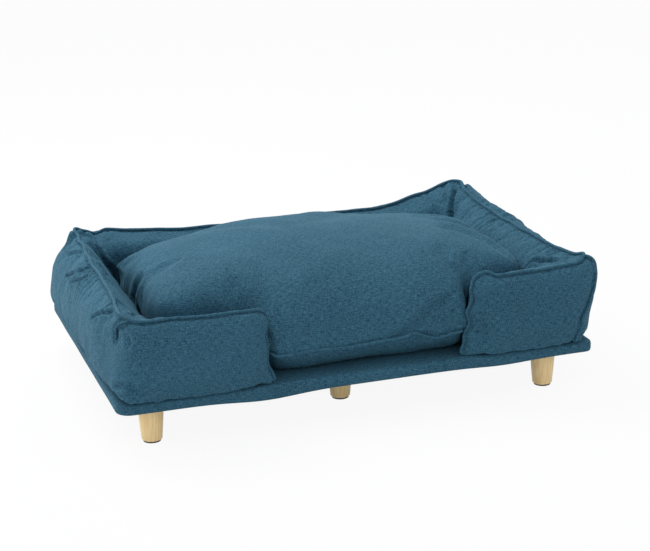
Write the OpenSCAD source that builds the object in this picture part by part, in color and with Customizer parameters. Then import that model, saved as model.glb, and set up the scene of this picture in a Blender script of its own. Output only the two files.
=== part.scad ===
// A raised dog sofa bed: an upholstered board on six turned legs, a stuffed surround of
// five compartments with an entry gap at the front, and a plump loose cushion with a zip.
// +X is the sitter's left to right as seen from the front, -Y is the front, +Z is up.
// The origin is on the floor at the middle of the footprint.

/* [Base] */
// Width of the upholstered base, side to side
base_w = 988; // [900:10:1100]
// Depth of the upholstered base, front to back
base_d = 700; // [660:10:780]
// Radius of the base's corners in plan
base_corner_r = 30; // [24:1:40]
// Rounding of the base's upper edge
base_edge_r = 8; // [5:0.5:10]
// Thickness of the plywood board
board_t = 12; // [10:1:18]
// Thickness of the foam sheet on the board
foam_t = 8; // [7:1:12]
// Thickness of the woven upholstery fabric
fabric_t = 1.5; // [1:0.1:2]
// Width of the fabric turned in under the board
hem_w = 30; // [24:1:34]
// Thickness of the black lining stapled under the board
lining_t = 0.8; // [0.6:0.1:1]
// How far the lining laps over the turned-in fabric
lining_lap = 14; // [12:1:18]

/* [Legs] */
// Length of the wooden legs
leg_h = 80; // [50:5:150]
// Diameter of a leg at the board
leg_top_d = 54; // [46:1:58]
// Diameter of a leg at the floor
leg_bottom_d = 41; // [36:1:45]
// Chamfer round the leg's lower end
leg_chamfer = 2; // [1:0.5:3]
// Distance from the base's side to a corner leg's axis
leg_inset_x = 77; // [66:1:120]
// Distance from the base's front or back to a corner leg's axis
leg_inset_y = 65; // [64:1:110]
// Distance from the base's front or back to a middle leg's axis
mid_leg_inset_y = 149; // [100:1:190]
// Thickness of the glide under each leg
glide_t = 3; // [2:0.5:5]
// Diameter of the glide under each leg
glide_d = 35; // [28:1:36]
// Diameter of the glide's peg
glide_peg_d = 5; // [4:0.5:6]
// Length of the glide's peg
glide_peg_l = 8; // [6:1:12]

/* [Fasteners] */
// Diameter of the hanger bolts
bolt_d = 8; // [6:1:10]
// Depth of the hanger bolt in the leg
bolt_depth = 28; // [20:1:36]
// Running clearance round a bolt, on the radius
bolt_clear = 0.05; // [0.03:0.01:0.1]
// Outer diameter of the tee nut's barrel
nut_barrel_d = 10.5; // [10.5:0.5:14]
// Diameter of the tee nut's flange
nut_flange_d = 20; // [18:1:24]
// Thickness of the tee nut's flange
nut_flange_t = 1.5; // [1:0.1:2]
// Length of the tee nut's prongs
nut_prong_l = 6; // [4:0.5:8]
// Spacing of the staples under the board
staple_pitch = 90; // [60:5:120]
// Width of a staple's crown
staple_w = 10; // [8:0.5:12]
// Thickness of a staple's wire
staple_wire = 0.8; // [0.6:0.1:1]
// Length of a staple's legs
staple_l = 8; // [6:0.5:9]

/* [Surround] */
// Width of a bolster at its fullest
bolster_w = 132; // [116:1:140]
// How far the bolsters bulge past the base
bolster_overhang = 17; // [8:1:22]
// Height of the back bolster at its middle
back_h = 137; // [120:1:170]
// Height of the left arm at its middle
left_arm_h = 155; // [125:1:175]
// Height of the right arm at its middle
right_arm_h = 156; // [125:1:180]
// Height of the front left arm at its middle
front_left_h = 143; // [120:1:170]
// Height of the front right arm at its middle
front_right_h = 152; // [120:1:170]
// Height of the front left corner
front_left_corner_h = 147; // [130:1:185]
// Height of the back left corner
back_left_corner_h = 164; // [140:1:190]
// Height of the back right corner
back_right_corner_h = 175; // [140:1:195]
// Height of the front right corner
front_right_corner_h = 157; // [130:1:185]
// Height of the front left arm at its free end
front_left_tip_h = 143; // [120:1:175]
// Height of the front right arm at its free end
front_right_tip_h = 158; // [120:1:175]
// Length of rim over which a corner rises
corner_run = 280; // [180:10:290]
// Length of rim over which a free end rises
tip_run = 100; // [70:5:120]
// Radius of the surround's outer corners in plan
outer_corner_r = 60; // [50:1:70]
// Radius of the softer back left corner in plan
back_left_r = 96; // [60:1:110]
// Radius of the fuller front right corner in plan
front_right_r = 48; // [40:1:70]
// Radius of the surround's inner corners in plan
inner_corner_r = 14; // [10:1:20]
// Width of the entry between the two front arms
entry_w = 422; // [360:2:440]
// How far the middle of the entry lies to the right
entry_shift = 20; // [0:1:30]
// Length over which a front arm narrows to its end seam
arm_taper = 65; // [50:1:75]
// Radius of a front arm's upper corner
arm_corner_r = 28; // [20:1:36]
// Thickness of a front arm at its end seam
arm_edge_t = 9; // [8:0.5:12]
// Distance of the front arms' end seam behind the base's front edge
arm_seam_in = 30; // [24:1:40]
// Diameter of the piping sewn into the seams
welt_d = 6; // [5:0.5:7]
// Gap between two neighbouring compartments
seam_gap = 0.5; // [0.4:0.1:0.8]
// Gap between a stuffing and its cover
fill_gap = 0.3; // [0.3:0.1:0.6]
// Clearance between pieces that lie on or beside each other
seat_gap = 0.3; // [0.25:0.05:0.5]
// Thickness of one half of the hook-and-loop tape
strip_t = 1.4; // [1:0.1:2]
// Width of the hook-and-loop tape
strip_w = 25; // [20:1:38]

/* [Seat cushion] */
// Height of the cushion's crown over its underside
cushion_h = 204; // [170:1:230]
// Height of the cushion's seam over its underside
seam_h = 46; // [42:1:52]
// Room between the cushion's cover and the bolsters
cushion_room = 9; // [8:0.5:12]
// Radius of the cushion's corners in plan
cushion_corner_r = 62; // [50:1:80]
// How far the cushion's sides draw in at their middle
side_draw = 5; // [0:0.5:8]
// How far the cushion's nose stays behind the base's front edge
nose_in = 27; // [24:1:34]

/* [Zip] */
// Length of the zip
zip_l = 500; // [420:10:520]
// Width of the zip's tape
zip_tape_w = 24; // [20:1:25]
// Thickness of the zip's tape
zip_tape_t = 0.9; // [0.8:0.1:1]
// Width of the zip's coil
coil_w = 4.5; // [4:0.5:5]
// Height of the zip's coil over its tape
coil_h = 1.8; // [1.5:0.1:2]
// Width of the slit that the zip closes
slit_w = 6; // [5:0.5:8]
// Length of the slider
slider_l = 11; // [9:1:14]
// Wall of the slider
slider_wall = 1.4; // [1.2:0.1:1.6]
// Length of the pull tab from its pin
pull_l = 13; // [11:0.5:13.5]
// Width of the pull tab
pull_w = 5; // [4:0.5:6]
// Thickness of the pull tab
pull_t = 1.4; // [1.2:0.1:1.6]
// Diameter of the slider's pin
pin_d = 1.4; // [1.2:0.1:1.6]

/* [Hidden] */
$fn = 48;

// One overrun serves every cut
over = 1;
teal = [0.21, 0.44, 0.53];
pale_wood = [0.86, 0.72, 0.5];

// Heights, from the floor up
leg_top_z = glide_t + leg_h;
board_z = leg_top_z + lining_t;
board_top_z = board_z + board_t;
foam_top_z = board_top_z + foam_t;
base_top_z = foam_top_z + fabric_t;
base_bottom_z = board_z - fabric_t;
bolster_z = base_top_z + 2 * strip_t + seat_gap;
cushion_z = base_top_z + seat_gap;

// The board and what wraps it
core_gap = seat_gap;
core_w = base_w - 2 * (fabric_t + core_gap);
core_d = base_d - 2 * (fabric_t + core_gap);
core_r = base_corner_r - fabric_t - core_gap;
hem_inner_w = base_w - 2 * hem_w;
hem_inner_d = base_d - 2 * hem_w;

// Leg axes
corner_leg_x = base_w / 2 - leg_inset_x;
corner_leg_y = base_d / 2 - leg_inset_y;
mid_leg_y = base_d / 2 - mid_leg_inset_y;
leg_axes = [[-corner_leg_x, -corner_leg_y], [0, -mid_leg_y], [corner_leg_x, -corner_leg_y],
    [-corner_leg_x, corner_leg_y], [0, mid_leg_y], [corner_leg_x, corner_leg_y]];

// The surround's outer and inner outlines in plan
out_w = base_w / 2 + bolster_overhang;
out_d = base_d / 2 + bolster_overhang;
in_w = out_w - bolster_w;
in_d = out_d - bolster_w;

// How a bolster's section is shaped: a full oval, boxy below
ring_n = 16;
upper_power = 0.86;
lower_power = 0.34;
foot_share = 0.02;
ridge_lift = 5;
corner_steps = 3;
arm_end_shares = [0, 0.3, 0.57, 0.74, 0.87, 0.96, 1];

function ease(t) = let (c = min(max(t, 0), 1)) c * c * (3 - 2 * c);
function signed_pow(v, e) = sign(v) * pow(abs(v), e);
function mix(a, b, t) = a + (b - a) * t;
function unit(v) = v / norm(v);
function turn(p, a) = [p.x * cos(a) - p.y * sin(a), p.x * sin(a) + p.y * cos(a), p.z];

// A point of a rounded outline: e is the end, a runs from 45 at the diagonal to 90
function corner_pt(h, d, r, a, e) = [e * (h - r + r * cos(a)), d - r + r * sin(a)];

// A station starts as [inner anchor, outer anchor]; this one lies in a corner
function corner_station(h_out, d_out, h_in, d_in, r_out, a, e, gap) = let (
    nudge = a == 45 ? [-e * gap, 0] : [0, 0])
    [corner_pt(h_in, d_in, inner_corner_r, a, e) + nudge,
     corner_pt(h_out, d_out, r_out, a, e) + nudge];

function middle_x(st) = (st[0].x + st[1].x) / 2;

// How near a place is to a corner: 1 in it, 0 from the run's length on
function nearness(distance, run) = pow(max(1 - distance / run, 0), 2);

// The rim's shape at a place is [height, share of the width at which the ridge lies, how
// rounded the upper outer side is, corner radius]; a run has one for its start, middle and end
function finish(raw, run, end_run) = let (
    x_start = middle_x(raw[0]),
    x_end = middle_x(raw[len(raw) - 1]))
    [for (st = raw) [st[0], st[1], run[1]
        + (run[0] - run[1]) * nearness(middle_x(st) - x_start, corner_run)
        + (run[2] - run[1]) * nearness(x_end - middle_x(st), end_run)]];

corner_angles = [for (i = [0:corner_steps]) 45 + 45 * i / corner_steps];

// Stations of a bolster between two corners
function side_stations(h_out, d_out, steps, run, inset) = let (
    h_in = h_out - bolster_w,
    d_in = d_out - bolster_w,
    gap = seam_gap / 2 + inset * sqrt(2))
    finish(concat(
        [for (a = corner_angles) corner_station(h_out, d_out, h_in, d_in, run[0][3], a, -1, gap)],
        [for (i = [1:steps - 1]) [[(h_in - inner_corner_r) * (2 * i / steps - 1), d_in],
            [mix(run[0][3] - h_out, h_out - run[2][3], i / steps), d_out]]],
        [for (i = [corner_steps:-1:0])
            corner_station(h_out, d_out, h_in, d_in, run[2][3], corner_angles[i], 1, gap)]),
        run, corner_run);

// Stations of a front arm, from its corner to its free end at end_at
function arm_stations(end_at, run, inset, straight_steps) = let (
    gap = seam_gap / 2 + inset * sqrt(2),
    end_x = end_at - inset,
    taper_x = end_x - arm_taper,
    seam_y = base_d / 2 - arm_seam_in,
    corner = [for (a = corner_angles) corner_station(out_w, out_d, in_w, in_d, run[0][3], a, -1, gap)],
    straight = [for (i = [1:straight_steps]) let (t = i / (straight_steps + 1))
        [[mix(-(in_w - inner_corner_r), taper_x, t), in_d],
         [mix(run[0][3] - out_w, taper_x, t), out_d]]],
    tip = [for (s = arm_end_shares) let (
        w = sqrt(max(1 - s * s, 0)),
        x = taper_x + arm_taper * s)
        [[x, mix(seam_y - arm_edge_t / 2, in_d, w)], [x, mix(seam_y + arm_edge_t / 2, out_d, w)]]])
    [for (st = finish(concat(corner, straight, tip), run, tip_run)) let (
        q = max(0, middle_x(st) - (end_x - arm_corner_r)),
        drop = arm_corner_r - sqrt(max(arm_corner_r * arm_corner_r - q * q, 0)))
        [st[0], st[1], st[2] - [drop, 0, 0, 0]]];

// One ring of a bolster: k runs from the outer side over the ridge to the inner side
function bolster_ring(st, inset, z0, n) = let (
    w = norm(st[1] - st[0]),
    h = st[2][0] - 2 * inset)
    [for (k = [0:n - 1]) let (
        a = 360 * k / n,
        power = a > 180 ? lower_power : a < 90 ? st[2][2] : upper_power,
        c = signed_pow(cos(a), power),
        s = signed_pow(sin(a), power),
        up = max(((1 + s) / 2 - foot_share) / (1 - foot_share), 0),
        across = (1 + c) / 2 + (st[2][1] - 1 / 2) * up * up * (1 - c * c),
        share = inset / w + across * (1 - 2 * inset / w),
        p = mix(st[0], st[1], share))
        [p.x, p.y, z0 + inset + h * up + ridge_lift * pow(max(sin(a), 0), 24)]];

// The ridge's path just over a row of stations, each with its outward direction
function ridge_path(stations) = [for (st = stations) let (
    p = mix(st[0], st[1], st[2][1]),
    o = unit(st[1] - st[0]))
    [[p.x, p.y, bolster_z + st[2][0] + ridge_lift + welt_d / 2 + seat_gap], [o.x, o.y, 0]]];

function centre_of(ring) = [for (i = [0:2]) [for (p = ring) p[i]] * [for (p = ring) 1] / len(ring)];

// A closed solid through rings that turn anticlockwise seen from the last one
module loft(rings, first_centre, last_centre) {
    n = len(rings[0]);
    m = len(rings);
    points = concat([for (ring = rings) for (p = ring) p], [first_centre, last_centre]);
    sides = [for (i = [0:m - 2]) for (k = [0:n - 1]) let (
        a = i * n + k,
        b = i * n + (k + 1) % n)
        for (f = [[a, a + n, b + n], [a, b + n, b]]) f];
    first = [for (k = [0:n - 1]) [n * m, k, (k + 1) % n]];
    last = [for (k = [0:n - 1]) [n * m + 1, (m - 1) * n + (k + 1) % n, (m - 1) * n + k]];
    polyhedron(points = points, faces = concat(sides, first, last));
}

module capped_loft(rings) {
    loft(rings, centre_of(rings[0]), centre_of(rings[len(rings) - 1]));
}

// A closed ring-shaped solid, the last ring joined to the first
module ring_loft(rings) {
    n = len(rings[0]);
    m = len(rings);
    points = [for (ring = rings) for (p = ring) p];
    faces = [for (i = [0:m - 1]) for (k = [0:n - 1]) let (
        a = i * n + k,
        b = i * n + (k + 1) % n,
        c = ((i + 1) % m) * n + k,
        d = ((i + 1) % m) * n + (k + 1) % n)
        for (f = [[a, c, d], [a, d, b]]) f];
    polyhedron(points = points, faces = faces);
}

// Rings of a tube along a path of [point, sideways direction]
function tube_rings(path, r, n, closed) = let (m = len(path))
    [for (i = [0:m - 1]) let (
        before = path[closed ? (i + m - 1) % m : max(i - 1, 0)][0],
        after = path[closed ? (i + 1) % m : min(i + 1, m - 1)][0],
        t = unit(after - before),
        o = path[i][1],
        u = unit(o - t * (o * t)),
        v = cross(t, u))
        [for (k = [0:n - 1]) path[i][0] + r * (cos(360 * k / n) * u + sin(360 * k / n) * v)]];

// A rounded rectangle as a plain shape, and as a ring of points
module rounded_rect(w, d, r) {
    square([w - 2 * r, d], center = true);
    square([w, d - 2 * r], center = true);
    for (x = [-1, 1], y = [-1, 1]) translate([x * (w / 2 - r), y * (d / 2 - r)]) circle(r);
}

corner_points = 7;
function rect_ring(w, d, r, z) = [for (q = [0:3]) for (i = [0:corner_points - 1]) let (
    a = 90 * q + 90 * i / (corner_points - 1),
    sx = q == 0 || q == 3 ? 1 : -1,
    sy = q < 2 ? 1 : -1)
    [sx * (w / 2 - r) + r * cos(a), sy * (d / 2 - r) + r * sin(a), z]];

// A slab with a rounded upper edge and a rounded lower edge
edge_angles = [0, 30, 60, 90];
module soft_slab(w, d, r, z_low, z_high, low_r, high_r) {
    low = [for (a = edge_angles) let (i = low_r * (1 - sin(a)))
        rect_ring(w - 2 * i, d - 2 * i, r - i, z_low + low_r * (1 - cos(a)))];
    high = [for (a = edge_angles) let (i = high_r * (1 - cos(a)))
        rect_ring(w - 2 * i, d - 2 * i, r - i, z_high - high_r * (1 - sin(a)))];
    capped_loft(concat(low, high));
}

module at_legs() {
    for (p = leg_axes) translate([p.x, p.y, 0]) children();
}

// Base

module base_board() {
    color("tan") difference() {
        translate([0, 0, board_z]) linear_extrude(board_t) rounded_rect(core_w, core_d, core_r);
        at_legs() {
            translate([0, 0, board_z - over]) cylinder(h = board_t + 2 * over,
                d = nut_barrel_d + 2 * bolt_clear);
            translate([0, 0, board_top_z - nut_flange_t])
                cylinder(h = nut_flange_t + over, d = nut_flange_d + 2 * bolt_clear);
        }
    }
}

module base_foam() {
    color("lightyellow")
        soft_slab(core_w, core_d, core_r, board_top_z, foam_top_z, fabric_t, base_edge_r - fabric_t);
}

module base_cover() {
    cavity_w = core_w + 2 * core_gap;
    cavity_d = core_d + 2 * core_gap;
    color(teal) difference() {
        soft_slab(base_w, base_d, base_corner_r, base_bottom_z, base_top_z, fabric_t, base_edge_r);
        soft_slab(cavity_w, cavity_d, base_corner_r - fabric_t, board_z, foam_top_z,
            core_gap, base_edge_r - fabric_t);
        translate([0, 0, base_bottom_z - over]) linear_extrude(fabric_t + 2 * over)
            rounded_rect(hem_inner_w, hem_inner_d, base_corner_r);
    }
}

module underside_lining() {
    sheet_w = hem_inner_w - 2 * seat_gap;
    sheet_d = hem_inner_d - 2 * seat_gap;
    lap_w = hem_inner_w + 2 * lining_lap;
    lap_d = hem_inner_d + 2 * lining_lap;
    step_z = base_bottom_z - lining_t;
    color("dimgray") difference() {
        union() {
            translate([0, 0, board_z - lining_t]) linear_extrude(lining_t)
                rounded_rect(sheet_w, sheet_d, base_corner_r);
            difference() {
                translate([0, 0, step_z]) linear_extrude(board_z - step_z)
                    rounded_rect(sheet_w, sheet_d, base_corner_r);
                translate([0, 0, step_z - over]) linear_extrude(board_z - step_z + 2 * over)
                    rounded_rect(sheet_w - 2 * lining_t, sheet_d - 2 * lining_t, base_corner_r);
            }
            difference() {
                translate([0, 0, step_z]) linear_extrude(lining_t)
                    rounded_rect(lap_w, lap_d, base_corner_r);
                translate([0, 0, step_z - over]) linear_extrude(lining_t + 2 * over)
                    rounded_rect(sheet_w - 2 * lining_t, sheet_d - 2 * lining_t, base_corner_r);
            }
        }
        at_legs() translate([0, 0, step_z - over])
            cylinder(h = board_z - step_z + 2 * over, d = bolt_d + 2 * lining_t);
    }
}

// A staple lies along local X, driven upwards through the lining and the fabric
module staple() {
    crown_z = base_bottom_z - lining_t - staple_wire;
    translate([-staple_w / 2, -staple_wire / 2, crown_z]) {
        cube([staple_w, staple_wire, staple_wire]);
        cube([staple_wire, staple_wire, staple_l]);
        translate([staple_w - staple_wire, 0, 0]) cube([staple_wire, staple_wire, staple_l]);
    }
}

module lining_staples() {
    line_x = hem_inner_w / 2 + lining_lap / 2;
    line_y = hem_inner_d / 2 + lining_lap / 2;
    run_x = hem_inner_w - 2 * base_corner_r;
    run_y = hem_inner_d - 2 * base_corner_r;
    nx = floor(run_x / staple_pitch);
    ny = floor(run_y / staple_pitch);
    color("silver") {
        for (i = [0:nx], s = [-1, 1])
            translate([run_x * (i / nx - 1 / 2), s * line_y, 0]) staple();
        for (i = [0:ny], s = [-1, 1])
            translate([s * line_x, run_y * (i / ny - 1 / 2), 0]) rotate(90) staple();
    }
}

module tee_nuts() {
    barrel_l = board_t - nut_flange_t - over;
    prong_w = nut_flange_t;
    color("silver") at_legs() difference() {
        union() {
            translate([0, 0, board_top_z - nut_flange_t]) cylinder(h = nut_flange_t, d = nut_flange_d);
            translate([0, 0, board_top_z - nut_flange_t - barrel_l])
                cylinder(h = barrel_l + nut_flange_t / 2, d = nut_barrel_d);
            for (a = [0:90:270]) rotate(a)
                translate([nut_flange_d / 2 - 2 * prong_w, -prong_w / 2,
                    board_top_z - nut_flange_t / 2 - nut_prong_l])
                cube([prong_w, prong_w, nut_prong_l]);
        }
        translate([0, 0, board_z - over]) cylinder(h = board_t + 2 * over, d = bolt_d + 2 * bolt_clear);
    }
}

module hanger_bolts() {
    tip_h = bolt_d / 2;
    color("gray") at_legs() {
        translate([0, 0, leg_top_z - bolt_depth + tip_h])
            cylinder(h = board_top_z - nut_flange_t - (leg_top_z - bolt_depth + tip_h), d = bolt_d);
        translate([0, 0, leg_top_z - bolt_depth])
            cylinder(h = tip_h, d1 = bolt_d / 2, d2 = bolt_d);
    }
}

// A tapered leg with a chamfered foot, bored for its bolt and for its glide's peg
module leg(p) {
    bottom_d = leg_bottom_d - 2 * leg_chamfer;
    color(pale_wood) translate([p.x, p.y, 0]) difference() {
        union() {
            translate([0, 0, glide_t]) cylinder(h = leg_chamfer, d1 = bottom_d, d2 = leg_bottom_d);
            translate([0, 0, glide_t + leg_chamfer])
                cylinder(h = leg_h - leg_chamfer, d1 = leg_bottom_d, d2 = leg_top_d);
        }
        translate([0, 0, leg_top_z - bolt_depth - seat_gap])
            cylinder(h = bolt_depth + seat_gap + over, d = bolt_d + 2 * bolt_clear);
        translate([0, 0, glide_t - over])
            cylinder(h = glide_peg_l + seat_gap + over, d = glide_peg_d + 2 * bolt_clear);
    }
}

module leg_front_left() { leg(leg_axes[0]); }
module leg_front_middle() { leg(leg_axes[1]); }
module leg_front_right() { leg(leg_axes[2]); }
module leg_back_left() { leg(leg_axes[3]); }
module leg_back_middle() { leg(leg_axes[4]); }
module leg_back_right() { leg(leg_axes[5]); }

module leg_glides() {
    color("darkslategray") at_legs() {
        cylinder(h = glide_t, d = glide_d);
        cylinder(h = glide_t + glide_peg_l, d = glide_peg_d);
    }
}

// Hook-and-loop tape under each compartment: [centre x, centre y, length x, length y]
strip_in = bolster_w / 2 - bolster_overhang;
side_strip_share = 0.55;
arm_strip_share = 0.5;
module strips(z) {
    x_line = base_w / 2 - strip_in;
    y_line = base_d / 2 - strip_in;
    arm_l = (base_w - entry_w) / 2;
    back_l = in_w * side_strip_share;
    for (s = [-1, 1]) {
        translate([s * in_w / 2 - back_l / 2, y_line - strip_w / 2, z]) cube([back_l, strip_w, strip_t]);
        translate([s * x_line - strip_w / 2, -in_d * side_strip_share, z])
            cube([strip_w, 2 * in_d * side_strip_share, strip_t]);
        translate([s * (base_w / 2 - arm_l / 2) - arm_l * arm_strip_share / 2, -y_line - strip_w / 2, z])
            cube([arm_l * arm_strip_share, strip_w, strip_t]);
    }
}

module hook_strips() { color("darkcyan") strips(base_top_z); }
module loop_strips() { color("darkslateblue") strips(base_top_z + strip_t + seat_gap); }

// Surround

back_steps = 8;
side_steps = 6;
arm_steps = 3;
fill_steps = 4;

function shell_rings(stations, inset) = [for (st = stations) bolster_ring(st, inset, bolster_z, ring_n)];

// The stuffing is a plainer body: it rests on its cover's floor and is slack above
fill_slack = 4;
fill_ring_n = 12;
function fill_rings(stations) = [for (st = stations)
    bolster_ring([st[0], st[1], st[2] - [fill_slack, 0, 0, 0]], fabric_t + fill_slack,
        bolster_z + fill_gap - fill_slack, fill_ring_n)];

// The rim's shape at its corners, at its middles and at its free ends
back_left = [back_left_corner_h, 0.44, 1.35, back_left_r];
back_right = [back_right_corner_h, 0.56, 0.8, outer_corner_r];
front_left = [front_left_corner_h, 0.75, 0.86, outer_corner_r];
front_right = [front_right_corner_h, 0.84, 0.6, front_right_r];
back_middle = [back_h, 0.34, 0.86, 0];
left_middle = [left_arm_h, 0.63, 0.86, 0];
right_middle = [right_arm_h, 0.63, 0.5, 0];
front_left_middle = [front_left_h, 0.82, 0.86, 0];
front_right_middle = [front_right_h, 0.82, 0.86, 0];
left_tip = [front_left_tip_h, 0.82, 0.86, 0];
right_tip = [front_right_tip_h, 0.82, 0.86, 0];
left_end_x = -entry_w / 2 + entry_shift;
right_end_x = -entry_w / 2 - entry_shift;

function back_run(inset, steps) =
    side_stations(out_w, out_d, steps, [back_left, back_middle, back_right], inset);
function right_run(inset, steps) =
    side_stations(out_d, out_w, steps, [back_right, right_middle, front_right], inset);
function left_run(inset, steps) =
    side_stations(out_d, out_w, steps, [back_left, left_middle, front_left], inset);
function front_right_run(inset, steps) =
    arm_stations(right_end_x, [front_right, front_right_middle, right_tip], inset, steps);
function front_left_run(inset, steps) =
    arm_stations(left_end_x, [front_left, front_left_middle, left_tip], inset, steps);

module shell(outer, inner) {
    color(teal) difference() {
        capped_loft(shell_rings(outer, 0));
        capped_loft(shell_rings(inner, fabric_t));
    }
}

module back_bolster_cover() { shell(back_run(0, back_steps), back_run(fabric_t, back_steps)); }
module right_arm_cover() {
    rotate(-90) shell(right_run(0, side_steps), right_run(fabric_t, side_steps));
}
module left_arm_cover() {
    mirror([1, 0, 0]) rotate(-90) shell(left_run(0, side_steps), left_run(fabric_t, side_steps));
}
module front_right_arm_cover() {
    rotate(180) shell(front_right_run(0, arm_steps), front_right_run(fabric_t, arm_steps));
}
module front_left_arm_cover() {
    mirror([1, 0, 0]) rotate(180)
        shell(front_left_run(0, arm_steps), front_left_run(fabric_t, arm_steps));
}

module stuffing(stations) { color("white") capped_loft(fill_rings(stations)); }

fill_inset = fabric_t + fill_slack;
module back_bolster_fill() { stuffing(back_run(fill_inset, fill_steps)); }
module right_arm_fill() { rotate(-90) stuffing(right_run(fill_inset, fill_steps)); }
module left_arm_fill() { mirror([1, 0, 0]) rotate(-90) stuffing(left_run(fill_inset, fill_steps)); }
module front_right_arm_fill() { rotate(180) stuffing(front_right_run(fill_inset, 1)); }
module front_left_arm_fill() { mirror([1, 0, 0]) rotate(180) stuffing(front_left_run(fill_inset, 1)); }

// The piping runs from the foot of one front arm's end seam over the whole rim to the other
welt_sides = 6;
end_drop_steps = 4;
function drop_first(list) = [for (i = [1:len(list) - 1]) list[i]];
function turned(path, a) = [for (p = path) [turn(p[0], a), turn(p[1], a)]];
function mirrored(path) = [for (p = path) [[-p[0].x, p[0].y, p[0].z], [-p[1].x, p[1].y, p[1].z]]];

// Over a front arm's end the piping follows the rounded corner, then runs down the end seam
function arm_end_path(stations, end_x, tip) = let (
    off = welt_d / 2 + seat_gap,
    reach = arm_corner_r + off + 2 * seat_gap,
    seam_y = base_d / 2 - arm_seam_in + (tip[1] - 1 / 2) * arm_edge_t,
    low_z = bolster_z + off,
    high_z = bolster_z + tip[0] + ridge_lift - arm_corner_r,
    on_top = [for (i = [0:corner_steps + arm_steps + 2]) ridge_path(stations)[i]],
    bend = [for (a = [0, 30, 60, 90]) let (
        x = end_x - arm_corner_r + reach * sin(a),
        back = min(max((x - (end_x - arm_taper)) / arm_taper, 0), 1),
        y = mix(seam_y, mix(in_d, out_d, tip[1]), sqrt(1 - back * back)))
        [[x, a == 90 ? seam_y : y, high_z + reach * cos(a)], [0, 1, 0]]],
    fall = [for (i = [1:end_drop_steps])
        [[end_x + off, seam_y, mix(high_z, low_z, i / end_drop_steps)], [0, 1, 0]]])
    concat(on_top, bend, fall);

// Half the rim, from the middle of the back, from its own and its neighbours' stations
function half_rim(back, side, arm, end_x, tip) = let (
    path = ridge_path(back),
    middle = (len(path) - 1) / 2)
    concat([for (i = [middle:len(path) - 1]) path[i]],
        turned(drop_first(ridge_path(side)), -90),
        turned(drop_first(arm_end_path(arm, end_x, tip)), 180));

module rim_welt() {
    seen_from_left = side_stations(out_w, out_d, back_steps, [back_right, back_middle, back_left], 0);
    right = half_rim(back_run(0, back_steps), right_run(0, side_steps),
        front_right_run(0, arm_steps), right_end_x, right_tip);
    left = half_rim(seen_from_left, left_run(0, side_steps),
        front_left_run(0, arm_steps), left_end_x, left_tip);
    path = concat(reversed(mirrored(left)), drop_first(right));
    color(teal) capped_loft(tube_rings(path, welt_d / 2, welt_sides, false));
}

// Seat cushion

cushion_w = in_w - cushion_room;
cushion_d = in_d - cushion_room;
nose_y = base_d / 2 - nose_in;
nose_half_share = 0.43;
nose_blend_share = 0.115;
nose_half = entry_w * nose_half_share;
nose_blend = entry_w * nose_blend_share;
nose_lead = 28;
crown_shift = -50;
cushion_centre = [crown_shift, (cushion_d - nose_y) / 2 + nose_lead];
back_points = 8;
nose_points = 5;
blend_shares = [0, 0.25, 0.5, 0.75, 1];
side_points = 3;
bend_points = 3;

function reversed(list) = [for (i = [len(list) - 1:-1:0]) list[i]];
function noseness(x) = 1 - ease((abs(x - entry_shift) - nose_half) / nose_blend);
function front_y(x) = -mix(cushion_d, nose_y, noseness(x));

// Places along the cushion's front, closer together where it narrows into the entry
function front_xs(hx) = let (
    a = entry_shift - nose_half,
    b = entry_shift + nose_half)
    concat([mix(-hx, a - nose_blend, 1 / 2)],
        [for (s = reversed(blend_shares)) a - s * nose_blend],
        [for (i = [1:nose_points - 1]) mix(a, b, i / nose_points)],
        [for (s = blend_shares) b + s * nose_blend],
        [mix(b + nose_blend, hx, 1 / 2)]);

function arc(cx, cy, r, from, n) =
    [for (i = [0:n]) let (a = from + 90 * i / n) [cx + r * cos(a), cy + r * sin(a)]];

// The cushion's seam in plan, anticlockwise from the right end of its back
function cushion_outline() = let (
    r = cushion_corner_r,
    hx = cushion_w - r,
    hb = cushion_d - r,
    hf = cushion_d - r)
    concat(
        [for (i = [1:back_points - 1]) [hx * (1 - 2 * i / back_points), cushion_d]],
        arc(-hx, hb, r, 90, bend_points),
        [for (i = [1:side_points]) let (t = i / (side_points + 1))
            [-cushion_w + side_draw * sin(180 * t), mix(hb, -hf, t)]],
        arc(-hx, -hf, r, 180, bend_points),
        [for (x = front_xs(hx)) [x, front_y(x)]],
        arc(hx, -hf, r, 270, bend_points),
        [for (i = [1:side_points]) let (t = i / (side_points + 1))
            [cushion_w - side_draw * sin(180 * t), mix(-hf, hb, t)]],
        arc(hx, hb, r, 0, bend_points));

// Profiles as [share of the way out from the centre, share of the height]: under the seam,
// over it where the cushion leans on the bolsters, and over it at the nose in the entry
under_shares = [[0.86, 0], [0.915, 0.16], [0.98, 0.72], [1, 1]];
side_shares = [[1.004, 0.3], [1.02, 0.49], [1.045, 0.59], [1.04, 0.67], [0.98, 0.76],
    [0.86, 0.85], [0.66, 0.93], [0.35, 0.985]];
back_shares = [[1.002, 0.18], [1.008, 0.33], [1.01, 0.44], [0.985, 0.54], [0.92, 0.65],
    [0.8, 0.77], [0.61, 0.89], [0.34, 0.975]];
nose_shares = [[0.995, 0.14], [0.975, 0.3], [0.935, 0.44], [0.88, 0.56], [0.8, 0.68],
    [0.69, 0.79], [0.52, 0.9], [0.28, 0.98]];
upper_h = cushion_h - seam_h;

// How far a place on the outline belongs to the nose, and how far to the back
function nose_weight(p) = p.y < -cushion_d - seat_gap ? noseness(p.x) : 0;
function back_weight(p) = ease(1 / 2 + back_spread * (p.y / cushion_d - abs(p.x) / cushion_w));
back_spread = 2;

// The back corners are slack, the left one more than the right one
sags = [0.38, 0.2];
function sag(p) = let (near = abs(p.x) / cushion_w * max(p.y, 0) / cushion_d)
    p.x < 0 ? sags[0] * pow(near, 3) : sags[1] * pow(near, 2);

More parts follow.
